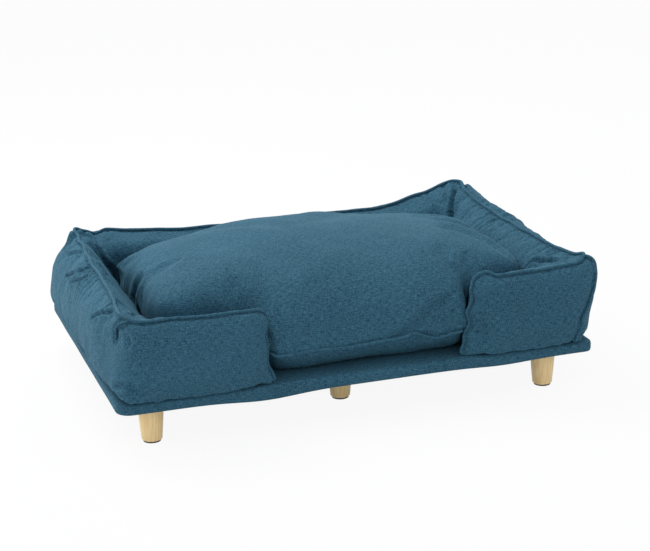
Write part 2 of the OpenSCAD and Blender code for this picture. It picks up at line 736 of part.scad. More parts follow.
function cushion_point(p, share, z) = [cushion_centre.x + share * (p.x - cushion_centre.x),
    cushion_centre.y + share * (p.y - cushion_centre.y), z];

// Rings of the cushion, drawn in by an inset and standing on a floor that lies low over its
// underside; picks names the upper rings that are kept
function cushion_rings(inset, low, picks) = let (
    outline = cushion_outline(),
    shrink = 1 - inset / (cushion_d - cushion_centre.y),
    squash = 1 - (inset + low) / cushion_h,
    z0 = cushion_z + low)
    concat(
        [for (s = under_shares) [for (p = outline)
            cushion_point(p, s[0] * shrink, z0 + seam_h * s[1] * squash)]],
        [for (i = picks) [for (p = outline) let (
            flank = mix(side_shares[i], back_shares[i], back_weight(p)),
            s = mix(flank, nose_shares[i], nose_weight(p)))
            cushion_point(p, s[0] * shrink, z0 + (seam_h + upper_h * s[1] * (1 - sag(p))) * squash)]]);

module cushion_body(inset, low, picks) {
    loft(cushion_rings(inset, low, picks), [cushion_centre.x, cushion_centre.y, cushion_z + low],
        [cushion_centre.x, cushion_centre.y, cushion_z + cushion_h - inset]);
}

all_picks = [0, 1, 2, 3, 4, 5, 6, 7];
fill_picks = [1, 4, 7];
cushion_slack = 6;

// The strip of the cushion's back, under its seam, that carries the zip
zip_low = [cushion_point([0, cushion_d], under_shares[1][0], 0).y, cushion_z + seam_h * under_shares[1][1]];
zip_high = [cushion_point([0, cushion_d], under_shares[2][0], 0).y, cushion_z + seam_h * under_shares[2][1]];
zip_mid = (zip_low + zip_high) / 2;
zip_tilt = atan2(zip_high.y - zip_low.y, zip_high.x - zip_low.x);

// Local X runs along the zip, local Y up the strip, and local Z out of it
module on_zip() {
    translate([0, zip_mid.x, zip_mid.y]) rotate([zip_tilt, 0, 0]) mirror([0, 0, 1]) children();
}

module cushion_cover() {
    color(teal) difference() {
        cushion_body(0, 0, all_picks);
        cushion_body(fabric_t, fabric_t, all_picks);
        on_zip() translate([-zip_l / 2 + zip_tape_w, -slit_w / 2, -2 * fabric_t - over])
            cube([zip_l - 2 * zip_tape_w, slit_w, 2 * fabric_t + 2 * over]);
    }
}

module cushion_fill() {
    color("whitesmoke") cushion_body(fabric_t + cushion_slack, fabric_t + fill_gap, fill_picks);
}

module cushion_welt() {
    outline = cushion_outline();
    n = len(outline);
    off = welt_d / 2 + seat_gap;
    path = [for (i = [0:n - 1]) let (
        t = unit(outline[(i + 1) % n] - outline[(i + n - 1) % n]),
        o = [t.y, -t.x],
        p = outline[i] + off * o)
        [[p.x, p.y, cushion_z + seam_h], [o.x, o.y, 0]]];
    color(teal) ring_loft(tube_rings(path, welt_d / 2, welt_sides, true));
}

// Zip: tape with its coil, end stops, slider and pull
tape_lift = 0.1;
module zip_tape() {
    color("midnightblue") on_zip() translate([-zip_l / 2, 0, tape_lift]) {
        translate([0, -zip_tape_w / 2, 0]) cube([zip_l, zip_tape_w, zip_tape_t]);
        translate([zip_tape_w, -coil_w / 2, 0])
            cube([zip_l - 2 * zip_tape_w, coil_w, zip_tape_t + coil_h]);
    }
}

stop_l = 3;
module zip_stops() {
    color("silver") on_zip() for (s = [-1, 1])
        translate([s * (zip_l / 2 - zip_tape_w + stop_l / 2 + seat_gap) - stop_l / 2,
            -coil_w / 2, tape_lift + zip_tape_t])
            cube([stop_l, coil_w, coil_h + slider_wall / 2]);
}

slider_x = -zip_l / 2 + zip_tape_w + slider_l / 2 + seat_gap;
slider_low = tape_lift + zip_tape_t + seat_gap;
slider_high = tape_lift + zip_tape_t + coil_h + seat_gap + slider_wall;
slider_half = coil_w / 2 + seat_gap + slider_wall;
pin_lift = slider_high + pin_d / 2 + pull_t / 2 + seat_gap;
pull_eye_d = pin_d + pull_t;
pin_world = [slider_x, zip_mid.x, zip_mid.y]
    + pin_lift * [0, sin(zip_tilt), -cos(zip_tilt)];
echo(zip_pin_axis_at = pin_world);

module zip_slider() {
    cheek_l = slider_wall;
    color("dimgray") on_zip() translate([slider_x, 0, 0]) {
        difference() {
            translate([-slider_l / 2, -slider_half, slider_low])
                cube([slider_l, 2 * slider_half, slider_high - slider_low]);
            translate([-slider_l / 2 - over, -coil_w / 2 - seat_gap, slider_low - over])
                cube([slider_l + 2 * over, coil_w + 2 * seat_gap,
                    slider_high - slider_wall - slider_low + over]);
        }
        for (s = [-1, 1])
            translate([s * (slider_l - cheek_l) / 2 - cheek_l / 2, -pin_d, slider_high - slider_wall / 2])
            cube([cheek_l, 2 * pin_d, pin_lift + pin_d - slider_high + slider_wall / 2]);
        translate([-slider_l / 2 + cheek_l / 2, 0, pin_lift]) rotate([0, 90, 0])
            cylinder(h = slider_l - cheek_l, d = pin_d);
    }
}

pin_clear = 0.06;
module zip_pull() {
    color("gray") translate(pin_world) difference() {
        union() {
            translate([-pull_w / 2, 0, 0]) rotate([0, 90, 0]) cylinder(h = pull_w, d = pull_eye_d);
            translate([-pull_w / 2, -pull_t / 2, -pull_l]) cube([pull_w, pull_t, pull_l]);
        }
        translate([-pull_w / 2 - over, 0, 0]) rotate([0, 90, 0])
            cylinder(h = pull_w + 2 * over, d = pin_d + 2 * pin_clear);
    }
}

base_board();
base_foam();
base_cover();
underside_lining();
lining_staples();
tee_nuts();
hanger_bolts();
leg_front_left();
leg_front_middle();
leg_front_right();
leg_back_left();
leg_back_middle();
leg_back_right();
leg_glides();
hook_strips();
back_bolster_cover();
left_arm_cover();
right_arm_cover();
front_left_arm_cover();
front_right_arm_cover();
back_bolster_fill();
left_arm_fill();
right_arm_fill();
front_left_arm_fill();
front_right_arm_fill();
rim_welt();
loop_strips();
cushion_cover();
cushion_fill();
cushion_welt();
zip_tape();
zip_stops();
zip_slider();
zip_pull();
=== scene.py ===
"""Dresses the raised dog sofa bed: upholstered base, turned legs, stuffed surround with its
piping, and the loose seat cushion. Everything is in metres, in the frame's own place."""

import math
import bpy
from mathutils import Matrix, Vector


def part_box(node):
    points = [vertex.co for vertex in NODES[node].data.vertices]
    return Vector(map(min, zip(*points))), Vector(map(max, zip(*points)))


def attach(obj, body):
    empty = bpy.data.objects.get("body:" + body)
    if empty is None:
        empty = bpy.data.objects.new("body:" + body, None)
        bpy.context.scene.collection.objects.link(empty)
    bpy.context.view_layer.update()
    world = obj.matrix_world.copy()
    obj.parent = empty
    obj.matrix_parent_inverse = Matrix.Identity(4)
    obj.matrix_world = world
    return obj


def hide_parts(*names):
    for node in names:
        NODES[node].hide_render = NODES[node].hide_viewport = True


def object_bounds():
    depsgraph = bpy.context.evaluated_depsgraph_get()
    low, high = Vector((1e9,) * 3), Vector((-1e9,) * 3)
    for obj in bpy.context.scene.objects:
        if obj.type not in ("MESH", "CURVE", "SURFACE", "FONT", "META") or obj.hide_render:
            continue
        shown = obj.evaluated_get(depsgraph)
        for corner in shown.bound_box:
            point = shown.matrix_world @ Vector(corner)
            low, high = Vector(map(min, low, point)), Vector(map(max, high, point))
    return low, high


bl_info = {
    "name": "Raised Dog Sofa Bed",
    "version": (1, 0, 0),
    "blender": (4, 5, 0),
    "location": "View3D > Sidebar > Sofa Bed",
    "description": "Upholstered base on wooden legs, a stuffed surround and a loose seat cushion",
    "category": "Object",
}

import bmesh
import bpy
import numpy as np
from mathutils import Matrix, Vector
from mathutils.bvhtree import BVHTree
from mathutils.kdtree import KDTree

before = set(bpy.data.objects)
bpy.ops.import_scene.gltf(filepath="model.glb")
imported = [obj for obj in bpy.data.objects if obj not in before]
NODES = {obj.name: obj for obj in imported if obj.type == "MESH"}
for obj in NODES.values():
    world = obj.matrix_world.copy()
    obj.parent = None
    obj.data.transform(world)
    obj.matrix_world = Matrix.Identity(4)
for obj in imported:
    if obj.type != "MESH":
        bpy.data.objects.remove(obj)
CAD_LOW, CAD_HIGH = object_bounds()

SURROUND = ["back_bolster_cover", "left_arm_cover", "right_arm_cover",
            "front_left_arm_cover", "front_right_arm_cover"]
LEGS = ["leg_front_left", "leg_front_middle", "leg_front_right",
        "leg_back_left", "leg_back_middle", "leg_back_right"]
BOLSTER = 0.132  # how deep a compartment is from its outer to its inner wall
IN_W, IN_D = CAD_HIGH.x - BOLSTER, CAD_HIGH.y - BOLSTER
BASE_LOW, BASE_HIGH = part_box("base_cover")
COVER_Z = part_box("left_arm_cover")[0].z
SEAT_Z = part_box("cushion_cover")[0].z
MERGE = 1e-5  # points of a solid that lie nearer than this are one
STEP = 0.004  # between two places of a line of piping
FINE_STEP = 0.003  # between two places of a fold


# Meshes as arrays of points

def read(items, field, width, kind=np.float32):
    flat = np.empty(len(items) * width, kind)
    items.foreach_get(field, flat)
    return flat.reshape(-1, width)


def points_of(mesh):
    return read(mesh.vertices, "co", 3).astype(float)


def normals_of(mesh):
    return read(mesh.vertex_normals, "vector", 3).astype(float)


def edges_of(mesh):
    return read(mesh.edges, "vertices", 2, np.int32)


def put_points(mesh, points):
    mesh.vertices.foreach_set("co", points.astype(np.float32).ravel())
    mesh.update()


def evened(values, edges, rounds, share=0.5):
    """Values at the points, each drawn towards the mean of its neighbours again and again."""
    count = np.bincount(edges.ravel(), minlength=len(values)).astype(float)
    count[count == 0] = 1
    out = values.copy()
    for _ in range(rounds):
        total = np.zeros_like(out)
        for k in range(out.shape[1]):
            total[:, k] = (np.bincount(edges[:, 0], out[edges[:, 1], k], len(out))
                           + np.bincount(edges[:, 1], out[edges[:, 0], k], len(out)))
        out += share * (total / count[:, None] - out)
    return out


def ease(t):
    t = np.clip(t, 0, 1)
    return t * t * (3 - 2 * t)


def over(a, b, width):
    """0 where a is not over b, rising softly to 1 where it is over it by the width."""
    return ease((a - b) / width)


def hill(value, at, width):
    """1 where the value is at its place, dying away on both sides."""
    return np.exp(-((value - at) / width) ** 2)


def ripple(points, seed, wave, count=14):
    """A smooth uneven field from -1 to 1 or so, with that typical wavelength."""
    rng = np.random.default_rng(seed)
    ways = rng.normal(size=(count, 3))
    ways /= np.linalg.norm(ways, axis=1)[:, None]
    waves = wave * rng.uniform(0.75, 1.35, count)
    phase = rng.uniform(0, 2 * math.pi, count)
    total = np.zeros(len(points))
    for way, w, p in zip(ways, waves, phase):
        total += np.sin(points @ way * (2 * math.pi / w) + p)
    return total / math.sqrt(count)


def nearest(points, path):
    """For each point, the index of the nearest place of a path and the distance to it."""
    tree = KDTree(len(path))
    for i, p in enumerate(path):
        tree.insert(p, i)
    tree.balance()
    index = np.empty(len(points), np.int64)
    away = np.empty(len(points))
    for i, p in enumerate(points):
        _, index[i], away[i] = tree.find(p)
    return index, away


def piece(name, mesh):
    obj = bpy.data.objects.new(name, mesh)
    bpy.context.scene.collection.objects.link(obj)
    return obj


def from_bm(name, bm):
    """A piece made of the working mesh."""
    mesh = bpy.data.meshes.new(name)
    bm.to_mesh(mesh)
    bm.free()
    return piece(name, mesh)


def solids(*names):
    """A working mesh of CAD solids, their doubled points merged."""
    bm = bmesh.new()
    for name in names:
        bm.from_mesh(NODES[name].data)
    bmesh.ops.remove_doubles(bm, verts=bm.verts, dist=MERGE)
    return bm


def settle(obj):
    """Bakes the object's modifiers into its mesh."""
    graph = bpy.context.evaluated_depsgraph_get()
    made = bpy.data.meshes.new_from_object(obj.evaluated_get(graph))
    obj.modifiers.clear()
    old = obj.data
    obj.data = made
    bpy.data.meshes.remove(old)
    return obj


def smooth_faces(mesh):
    mesh.polygons.foreach_set("use_smooth", [True] * len(mesh.polygons))
    mesh.update()


# Covers: an even skin over the solids

def islands(bm, longest=math.inf):
    """Groups of points that edges shorter than the longest join."""
    left = dict.fromkeys(bm.verts)
    while left:
        found, queue = [], [left.popitem()[0]]
        while queue:
            v = queue.pop()
            found.append(v)
            for e in v.link_edges:
                o = e.other_vert(v)
                if o in left and e.calc_length() < longest:
                    del left[o]
                    queue.append(o)
        yield found


def volume(faces):
    total = 0.0
    for f in faces:
        a = f.verts[0].co
        for b, c in zip(f.verts[1:], f.verts[2:]):
            total += a.dot(b.co.cross(c.co)) / 6
    return total


def outer_skins(names):
    """The outsides of the named hollow solids, their inner walls left off."""
    bm = solids(*names)
    inner = []
    for verts in list(islands(bm)):
        if volume({f for v in verts for f in v.link_faces}) < 0:
            inner += verts
    bmesh.ops.delete(bm, geom=inner, context="VERTS")
    return bm


def quads_again(bm):
    bmesh.ops.join_triangles(bm, faces=bm.faces, angle_face_threshold=math.radians(50),
                             angle_shape_threshold=math.radians(70))


def even_skin(name, bm, voxel, rounds):
    """Rounds a coarse shell off and covers it with even faces."""
    obj = from_bm(name, bm)
    fine = obj.modifiers.new("Fine", "SUBSURF")
    fine.levels = fine.render_levels = 2
    grid = obj.modifiers.new("Even", "REMESH")
    grid.mode = "VOXEL"
    grid.voxel_size = voxel
    soft = obj.modifiers.new("Soft", "SMOOTH")
    soft.factor = 0.5
    soft.iterations = rounds
    return settle(obj)


def swell(obj, held, pressure, growth, cap, keep):
    """Fills the cover: cloth under pressure, held where held is true. Its folds are kept, and
    only a share of its general swelling. No point moves further than its cap."""
    before = points_of(obj.data)
    scene = bpy.context.scene
    frames = 20
    group = obj.vertex_groups.new(name="held")
    group.add([int(i) for i in np.flatnonzero(held)], 1.0, "REPLACE")
    cloth = obj.modifiers.new("Filling", "CLOTH")
    s = cloth.settings
    s.quality = 5
    s.mass = 0.3
    s.tension_stiffness = s.compression_stiffness = 12
    s.shear_stiffness = 5
    s.bending_stiffness = 0.35
    s.use_pressure = True
    s.uniform_pressure_force = pressure
    s.shrink_min = -growth
    s.vertex_group_mass = "held"
    s.effector_weights.gravity = 0
    cloth.collision_settings.use_collision = False
    cloth.collision_settings.use_self_collision = False
    cloth.point_cache.frame_start = 1
    cloth.point_cache.frame_end = frames
    for f in range(1, frames + 1):
        scene.frame_set(f)
    settle(obj)
    scene.frame_set(1)
    obj.vertex_groups.clear()
    moved = points_of(obj.data) - before
    general = evened(moved, edges_of(obj.data), 60)
    moved = moved - (1 - keep) * general
    length = np.maximum(np.linalg.norm(moved, axis=1), 1e-9)
    moved *= (cap * np.tanh(length / cap) / length)[:, None]
    put_points(obj.data, before + moved)


def finer(obj):
    """One subdivision, baked."""
    fine = obj.modifiers.new("Fine", "SUBSURF")
    fine.levels = fine.render_levels = 1
    settle(obj)
    smooth_faces(obj.data)


# Piping: paths read from the solids, then laid on the covers

def ring_centres(node):
    """The centres of the rings of points that a CAD tube is made of."""
    bm = solids(node)
    longest = 0.0033  # longer than a ring's edges, shorter than the way to the next ring
    centres = [sum((v.co for v in ring), Vector()) / len(ring) for ring in islands(bm, longest)]
    bm.free()
    return centres


def in_order(centres, start):
    """The places in a row from the start, each followed by the nearest that is left, and of two
    that lie as near by the one further right."""
    left, row = list(centres), [start]
    while left:
        row.append(min(left, key=lambda c: (round((c - row[-1]).length, 6), -c.x)))
        left.remove(row[-1])
    return row[1:]


def through(points, step, closed=False):
    """A smooth line through the points, with places that lie a step apart."""
    p = np.array([list(q) for q in points])
    n = len(p)
    dense = []
    for i in range(n if closed else n - 1):
        near = [j % n if closed else min(max(j, 0), n - 1) for j in range(i - 1, i + 3)]
        a, b, c, d = p[near]
        for t in np.linspace(0, 1, 12, endpoint=False):
            dense.append(0.5 * (2 * b + (c - a) * t + (2 * a - 5 * b + 4 * c - d) * t * t
                                + (3 * b - a - 3 * c + d) * t ** 3))
    dense.append(p[0] if closed else p[-1])
    dense = np.array(dense)
    run = np.concatenate([[0], np.cumsum(np.linalg.norm(np.diff(dense, axis=0), axis=1))])
    count = max(int(round(run[-1] / step)), 2)
    at = np.linspace(0, run[-1], count + 1)
    if closed:
        at = at[:-1]
    return np.stack([np.interp(at, run, dense[:, k]) for k in range(3)], axis=1)


def averaged(rows, width, closed=False):
    pad = width // 2
    full = np.concatenate([rows[-pad:], rows, rows[:pad]]) if closed else np.pad(
        rows, ((pad, pad), (0, 0)), mode="edge")
    kernel = np.hanning(2 * pad + 3)[1:-1]
    kernel /= kernel.sum()
    return np.stack([np.convolve(column, kernel, "valid") for column in full.T], axis=1)


def tube(name, path, radius, closed=False, seed=1):
    """Piping along a path: a bevelled curve made a mesh, its girth a little uneven."""
    curve = bpy.data.curves.new(name, "CURVE")
    curve.dimensions = "3D"
    curve.bevel_depth = radius
    curve.bevel_resolution = 3
    curve.use_fill_caps = True
    line = curve.splines.new("POLY")
    line.points.add(len(path) - 1)
    girth = 1 + 0.05 * ripple(path, seed, 0.03)
    for point, place, g in zip(line.points, path, girth):
        point.co = (*place, 1)
        point.radius = g
    line.use_cyclic_u = closed
    obj = piece(name, curve)
    graph = bpy.context.evaluated_depsgraph_get()
    mesh = bpy.data.meshes.new_from_object(obj.evaluated_get(graph))
    bpy.data.objects.remove(obj)
    bpy.data.curves.remove(curve)
    mesh.name = name
    smooth_faces(mesh)
    return piece(name, mesh)


def skin_tree(obj):
    graph = bpy.context.evaluated_depsgraph_get()
    return BVHTree.FromObject(obj, graph)


def laid_on(tree, path, lift):
    """The path's places moved onto the cover, their centres lifted off it."""
    out = []
    for p in path:
        where, normal, _, _ = tree.find_nearest(Vector(p))
        out.append(where + normal * lift)
    return np.array([list(q) for q in out])


def drawn_to(points, path, target, reach):
    """Points near the path move as far as the path does to reach its target."""
    index, away = nearest(points, path)
    return points + (target - path)[index] * hill(away, 0, reach)[:, None]


def seated(obj, seat, reaches):
    """Draws the cover up or down to the line that a piping sits on, again and again."""
    for reach in reaches:
        on_skin = laid_on(skin_tree(obj), seat, 0.0)
        put_points(obj.data, drawn_to(points_of(obj.data), on_skin, seat, reach))


def kept_off(points, tree, gap, reach=0.08):
    """Points that lie in the other piece, or nearer to it than the gap, come out of it."""
    out = points.copy()
    for i, p in enumerate(points):
        where, normal, _, away = tree.find_nearest(Vector(p), reach)
        if where is None:
            continue
        outside = (Vector(p) - where).dot(normal)
        if outside < gap and (away < gap or outside < 0):
            out[i] = where + normal * gap
    return out


def kept_in(points, tree, gap):
    """Points of a stuffing stay a gap inside their cover."""
    out = points.copy()
    for i, p in enumerate(points):
        where, normal, _, _ = tree.find_nearest(Vector(p))
        outside = (Vector(p) - where).dot(normal)
        if outside > -gap:
            out[i] = where - normal * gap
    return out


# Folds and gathers

def fold(tree, points, normals, line, width, depth, lip=0.35, start=0.15):
    """Presses a valley with soft lips along a line laid on the cover."""
    path = laid_on(tree, through(line, FINE_STEP), 0.0)
    index, away = nearest(points, path)
    along = index / max(len(path) - 1, 1)
    strength = ease(np.minimum(along + start, 1.15 - along) * 4)
    end = (index == 0) | (index == len(path) - 1)
    strength[end] *= 0.6
    shape = lip * hill(away, 2.1 * width, width) - hill(away, 0, width)
    return points + normals * (depth * strength * shape)[:, None]


def gathers(run, away, amount, reach, seed):
    """Small pleats that run square to a seam and die away from it."""
    rng = np.random.default_rng(seed)
    total = np.zeros(len(run))
    for wave, share in ((0.0085, 0.4), (0.013, 1.0), (0.021, 0.9), (0.034, 0.6)):
        drift = 1.3 * np.sin(run * 2 * math.pi / (wave * 7.3) + rng.uniform(0, 6))
        total += share * np.sin(run * 2 * math.pi / wave + drift + rng.uniform(0, 6))
    swing = 0.55 + 0.45 * np.sin(run * 2 * math.pi / 0.17 + rng.uniform(0, 6))
    faded = np.exp(-(away / reach) ** 1.5) * (1 - hill(away, 0, 0.004))
    return amount * total * swing * faded


# Node groups for the finishes

class Wiring:
    """Short ways to add and join nodes in one tree."""

    def __init__(self, tree):
        self.tree = tree

    def node(self, kind, **settings):
        made = self.tree.nodes.new(kind)
        for key, value in settings.items():
            setattr(made, key, value)
        return made

    def join(self, source, socket):
        if isinstance(source, bpy.types.NodeSocket):
            self.tree.links.new(source, socket)
        else:
            socket.default_value = source

    def fed(self, made, *sources):
        """The node's first output, its first inputs joined to the sources."""
        for source, socket in zip(sources, made.inputs):
            self.join(source, socket)
        return made.outputs[0]

    def math(self, operation, a, b=0.0, clamp=False):
        return self.fed(self.node("ShaderNodeMath", operation=operation, use_clamp=clamp), a, b)

    def add(self, a, b, clamp=False):
        return self.math("ADD", a, b, clamp)

    def less(self, a, b):
        return self.math("SUBTRACT", a, b)

    def times(self, a, b, clamp=False):
        return self.math("MULTIPLY", a, b, clamp)

    def mix(self, factor, a, b):
        made = self.node("ShaderNodeMix", data_type="RGBA")
        for source, number in ((factor, 0), (a, 6), (b, 7)):
            self.join(source, made.inputs[number])
        return made.outputs[2]

    def blend(self, factor, a, b):
        """a where the factor is 0, b where it is 1."""
        return self.add(a, self.times(factor, self.less(b, a)))

    def noise(self, places, scales, detail=2.0):
        """Noise over the places, each way with its own scale."""
        made = self.node("ShaderNodeTexNoise")
        made.inputs["Scale"].default_value = 1.0
        made.inputs["Detail"].default_value = detail
        scaled = [self.times(place, scale) for place, scale in zip(places, scales)]
        self.join(self.fed(self.node("ShaderNodeCombineXYZ"), *scaled), made.inputs["Vector"])
        return made.outputs["Fac"]

    def swing(self, value, size):
        """How far a value lies from its middle, times a size."""
        return self.times(self.less(value, 0.5), size)

    def parts(self, vector):
        made = self.node("ShaderNodeSeparateXYZ")
        self.join(vector, made.inputs[0])
        return made.outputs

    def shader(self, kind, **values):
        made = self.node(kind)
        for label, value in values.items():
            made.inputs[label].default_value = value
        return made.outputs[0]

    def by_sight(self, unseen, seen):
        """One shader for light and shadow, the other where the camera, gloss or glass shows it."""
        path = self.node("ShaderNodeLightPath").outputs
        shown = self.math("MAXIMUM", path["Is Camera Ray"],
                          self.math("MAXIMUM", path["Is Glossy Ray"], path["Is Transmission Ray"]))
        return self.fed(self.node("ShaderNodeMixShader"), shown, unseen, seen)


def new_group(name, sockets):
    """A group with these inputs, its wiring, what it is given, and the piece's own places."""
    group = bpy.data.node_groups.new(name, "ShaderNodeTree")
    for label, default in sockets.items():
        kind = "NodeSocketColor" if isinstance(default, tuple) else "NodeSocketFloat"
        socket = group.interface.new_socket(name=label, in_out="INPUT", socket_type=kind)
        socket.default_value = default
    for label, kind in (("Color", "NodeSocketColor"), ("Roughness", "NodeSocketFloat"),
                        ("Height", "NodeSocketFloat")):
        group.interface.new_socket(name=label, in_out="OUTPUT", socket_type=kind)
    w = Wiring(group)
    given = w.node("NodeGroupInput").outputs
    where = w.node("ShaderNodeTexCoord").outputs
    return w, given, where, w.parts(where["Object"])[:3]


def give(w, colour, roughness, height):
    """Joins a group's three outputs, and returns the group."""
    out = w.node("NodeGroupOutput")
    for source, socket in zip((colour, roughness, height), out.inputs):
        w.join(source, socket)
    return w.tree


def woven_group(name):
    """Melange cloth: slubbed warp and weft over a plain weave, on the three faces of a box."""
    w, given, where, (x, y, z) = new_group(name, {
        "Dark Yarn": (0.03, 0.09, 0.13, 1), "Light Yarn": (0.09, 0.22, 0.3, 1),
        "Thread Pitch": 0.0012, "Slub": 1.0, "Patchiness": 0.3})
    nx, ny, nz = (w.math("ABSOLUTE", n) for n in w.parts(where["Normal"]))
    on_top = w.math("GREATER_THAN", nz, w.math("MAXIMUM", nx, ny))
    on_side = w.times(w.math("GREATER_THAN", nx, ny), w.less(1.0, on_top))
    u = w.blend(on_side, x, y)
    v = w.blend(on_top, z, y)
    lane = w.times(w.add(on_top, w.times(on_side, 2.0)), 37.0)
    # Weft, warp and specks: scales along u and v, detail, strength
    yarns = 0.0
    for along_u, along_v, detail, strength in ((95.0, 560.0, 1.0, 1.5), (540.0, 120.0, 1.0, 1.25),
                                               (430.0, 430.0, 2.0, 1.35)):
        slub = w.noise((u, v, lane), (along_u, along_v, 1.0), detail)
        yarns = w.add(yarns, w.swing(slub, strength))
    yarns = w.times(yarns, given["Slub"])
    broad = w.noise((x, y, z), (9.0, 9.0, 9.0))
    tone = w.add(yarns, w.swing(broad, given["Patchiness"]))
    turn = w.math("DIVIDE", math.pi, given["Thread Pitch"])
    weave = w.times(w.math("SINE", w.times(u, turn)), w.math("SINE", w.times(v, turn)))
    tone = w.add(w.add(tone, 0.5), w.times(weave, 0.1), clamp=True)
    return give(w, w.mix(tone, given["Dark Yarn"], given["Light Yarn"]),
                w.less(0.93, w.times(tone, 0.1)),
                w.add(w.times(weave, 0.5), w.times(yarns, 0.6)))


def grain_group(name):
    """Straight grained pale wood, its fibres along the leg."""
    w, given, _, (x, y, z) = new_group(name, {
        "Early Wood": (0.72, 0.52, 0.29, 1), "Late Wood": (0.5, 0.31, 0.14, 1),
        "Ring Width": 0.005})
    sway = w.noise((x, y, z), (22.0, 22.0, 7.0))
    across = w.add(w.times(x, 0.82), w.times(y, 0.57))
    turns = w.math("DIVIDE", w.times(across, 2 * math.pi), given["Ring Width"])
    rings = w.math("SINE", w.add(turns, w.times(sway, 16.0)))
    rings = w.math("POWER", w.times(w.add(rings, 1.0), 0.5), 2.2)
    fibre = w.noise((x, y, z), (420.0, 420.0, 9.0), 4.0)
    pore = w.noise((x, y, z), (420.0, 420.0, 45.0), 1.0)
    pore = w.times(w.less(pore, 0.62), 4.0, clamp=True)
    tone = w.add(w.times(rings, 0.4), w.times(w.less(fibre, 0.45), 1.2))
    tone = w.add(tone, w.times(pore, 0.35), clamp=True)
    return give(w, w.mix(tone, given["Early Wood"], given["Late Wood"]),
                w.add(0.4, w.times(fibre, 0.2)), w.less(fibre, pore))


def speckle_group(name):
    """Fine uneven tone for felted, moulded and rolled stuff."""
    w, given, _, (x, y, z) = new_group(name, {
        "Tone A": (0.1, 0.1, 0.1, 1), "Tone B": (0.2, 0.2, 0.2, 1), "Grain": 400.0, "Stretch": 1.0,
        "Dull": 0.5, "Spread": 0.2})
    grain = given["Grain"]
    fine = w.noise((x, y, z), (w.math("DIVIDE", grain, given["Stretch"]), grain, grain), 3.0)
    broad = w.noise((x, y, z), (25.0, 25.0, 25.0))
    tone = w.add(w.swing(fine, 1.8), broad, clamp=True)
    return give(w, w.mix(tone, given["Tone A"], given["Tone B"]),
                w.add(given["Dull"], w.swing(fine, given["Spread"])), fine)


GROUPS = {"woven_yarns": woven_group, "straight_grain": grain_group, "fine_speckle": speckle_group}


def finish_of(name, group, values, bump, distance, **shader_values):
    """A material from one of the groups, made once."""
    name += "_finish"
    if name in bpy.data.materials:
        return bpy.data.materials[name]
    material = bpy.data.materials.new(name)
    material.use_nodes = True
    w = Wiring(material.node_tree)
    shader = material.node_tree.nodes["Principled BSDF"]
    made = w.node("ShaderNodeGroup")
    made.node_tree = bpy.data.node_groups.get(group) or GROUPS[group](group)
    for label, value in values.items():
        made.inputs[label].default_value = value
    relief = w.node("ShaderNodeBump")
    relief.inputs["Strength"].default_value = bump
    relief.inputs["Distance"].default_value = distance
    w.join(made.outputs["Height"], relief.inputs["Height"])
    w.join(made.outputs["Color"], shader.inputs["Base Color"])
    w.join(made.outputs["Roughness"], shader.inputs["Roughness"])
    w.join(relief.outputs["Normal"], shader.inputs["Normal"])
    for label, value in shader_values.items():
        shader.inputs[label.replace("_", " ")].default_value = value
    return material


def fabric_finish():
    s = bpy.context.scene.sofa_fabric
    return finish_of("woven_fabric", "woven_yarns",
                     {"Dark Yarn": (*s.dark_yarn, 1), "Light Yarn": (*s.light_yarn, 1),
                      "Thread Pitch": s.pitch, "Slub": s.slub, "Patchiness": 0.35}, 0.35, 0.0004,
                     Sheen_Weight=0.10, Sheen_Roughness=0.45, Sheen_Tint=(0.3, 0.7, 0.9, 1.0),
                     Specular_IOR_Level=0.2)


def speckled(name, tone_a, tone_b, grain, dull, spread=0.2, bump=0.2, distance=0.0003, stretch=1.0,
             **shader_values):
    return finish_of(name, "fine_speckle",
                     {"Tone A": (*tone_a, 1), "Tone B": (*tone_b, 1), "Grain": grain, "Dull": dull,
                      "Spread": spread, "Stretch": stretch}, bump, distance, **shader_values)


def dress(obj, material):
    obj.data.materials.clear()
    obj.data.materials.append(material)


def finished(obj, material, body, replaced=(), fill=None):
    """Gives a piece its material and its body, and hides the solids it stands for; the fill is not
    used.
    """
    dress(obj, material)
    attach(obj, body)
    if replaced:
        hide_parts(*replaced)


# Settings

class SofaFabric(bpy.types.PropertyGroup):
    dark_yarn: bpy.props.FloatVectorProperty(
        name="Dark yarn", description="Colour of the darker yarns", subtype="COLOR",
        default=(0.0090, 0.0450, 0.0770), min=0, max=1)
    light_yarn: bpy.props.FloatVectorProperty(
        name="Light yarn", description="Colour of the lighter yarns", subtype="COLOR",
        default=(0.0480, 0.1500, 0.2220), min=0, max=1)
    pitch: bpy.props.FloatProperty(
        name="Thread pitch", description="Distance between two threads",
        unit="LENGTH", default=0.0013)
    slub: bpy.props.FloatProperty(
        name="Slub", description="How uneven the yarns are", subtype="FACTOR",
        default=1.0, min=0, max=2)
    piping: bpy.props.FloatProperty(
        name="Piping radius", description="Radius of the cord covered with fabric",
        unit="LENGTH", default=0.0033)


class SofaLegs(bpy.types.PropertyGroup):
    early_wood: bpy.props.FloatVectorProperty(
        name="Early wood", description="Colour of the pale wood", subtype="COLOR",
        default=(1.0, 0.77, 0.39), min=0, max=1)
    late_wood: bpy.props.FloatVectorProperty(
        name="Late wood", description="Colour of the grain lines", subtype="COLOR",
        default=(0.86, 0.50, 0.20), min=0, max=1)
    ring_width: bpy.props.FloatProperty(
        name="Ring width", description="Distance between two grain lines",
        unit="LENGTH", default=0.006)


class SofaSurround(bpy.types.PropertyGroup):
    face: bpy.props.FloatProperty(
        name="Face size", description="Size of the cover's even faces before the last subdivision",
        unit="LENGTH", default=0.006)
    fill: bpy.props.FloatProperty(
        name="Fill", description="How full the compartments are", subtype="FACTOR",
        default=0.7, min=0, max=1)
    pleats: bpy.props.FloatProperty(
        name="Pleats", description="Height of the small pleats along the piping",
        unit="LENGTH", default=0.0010)


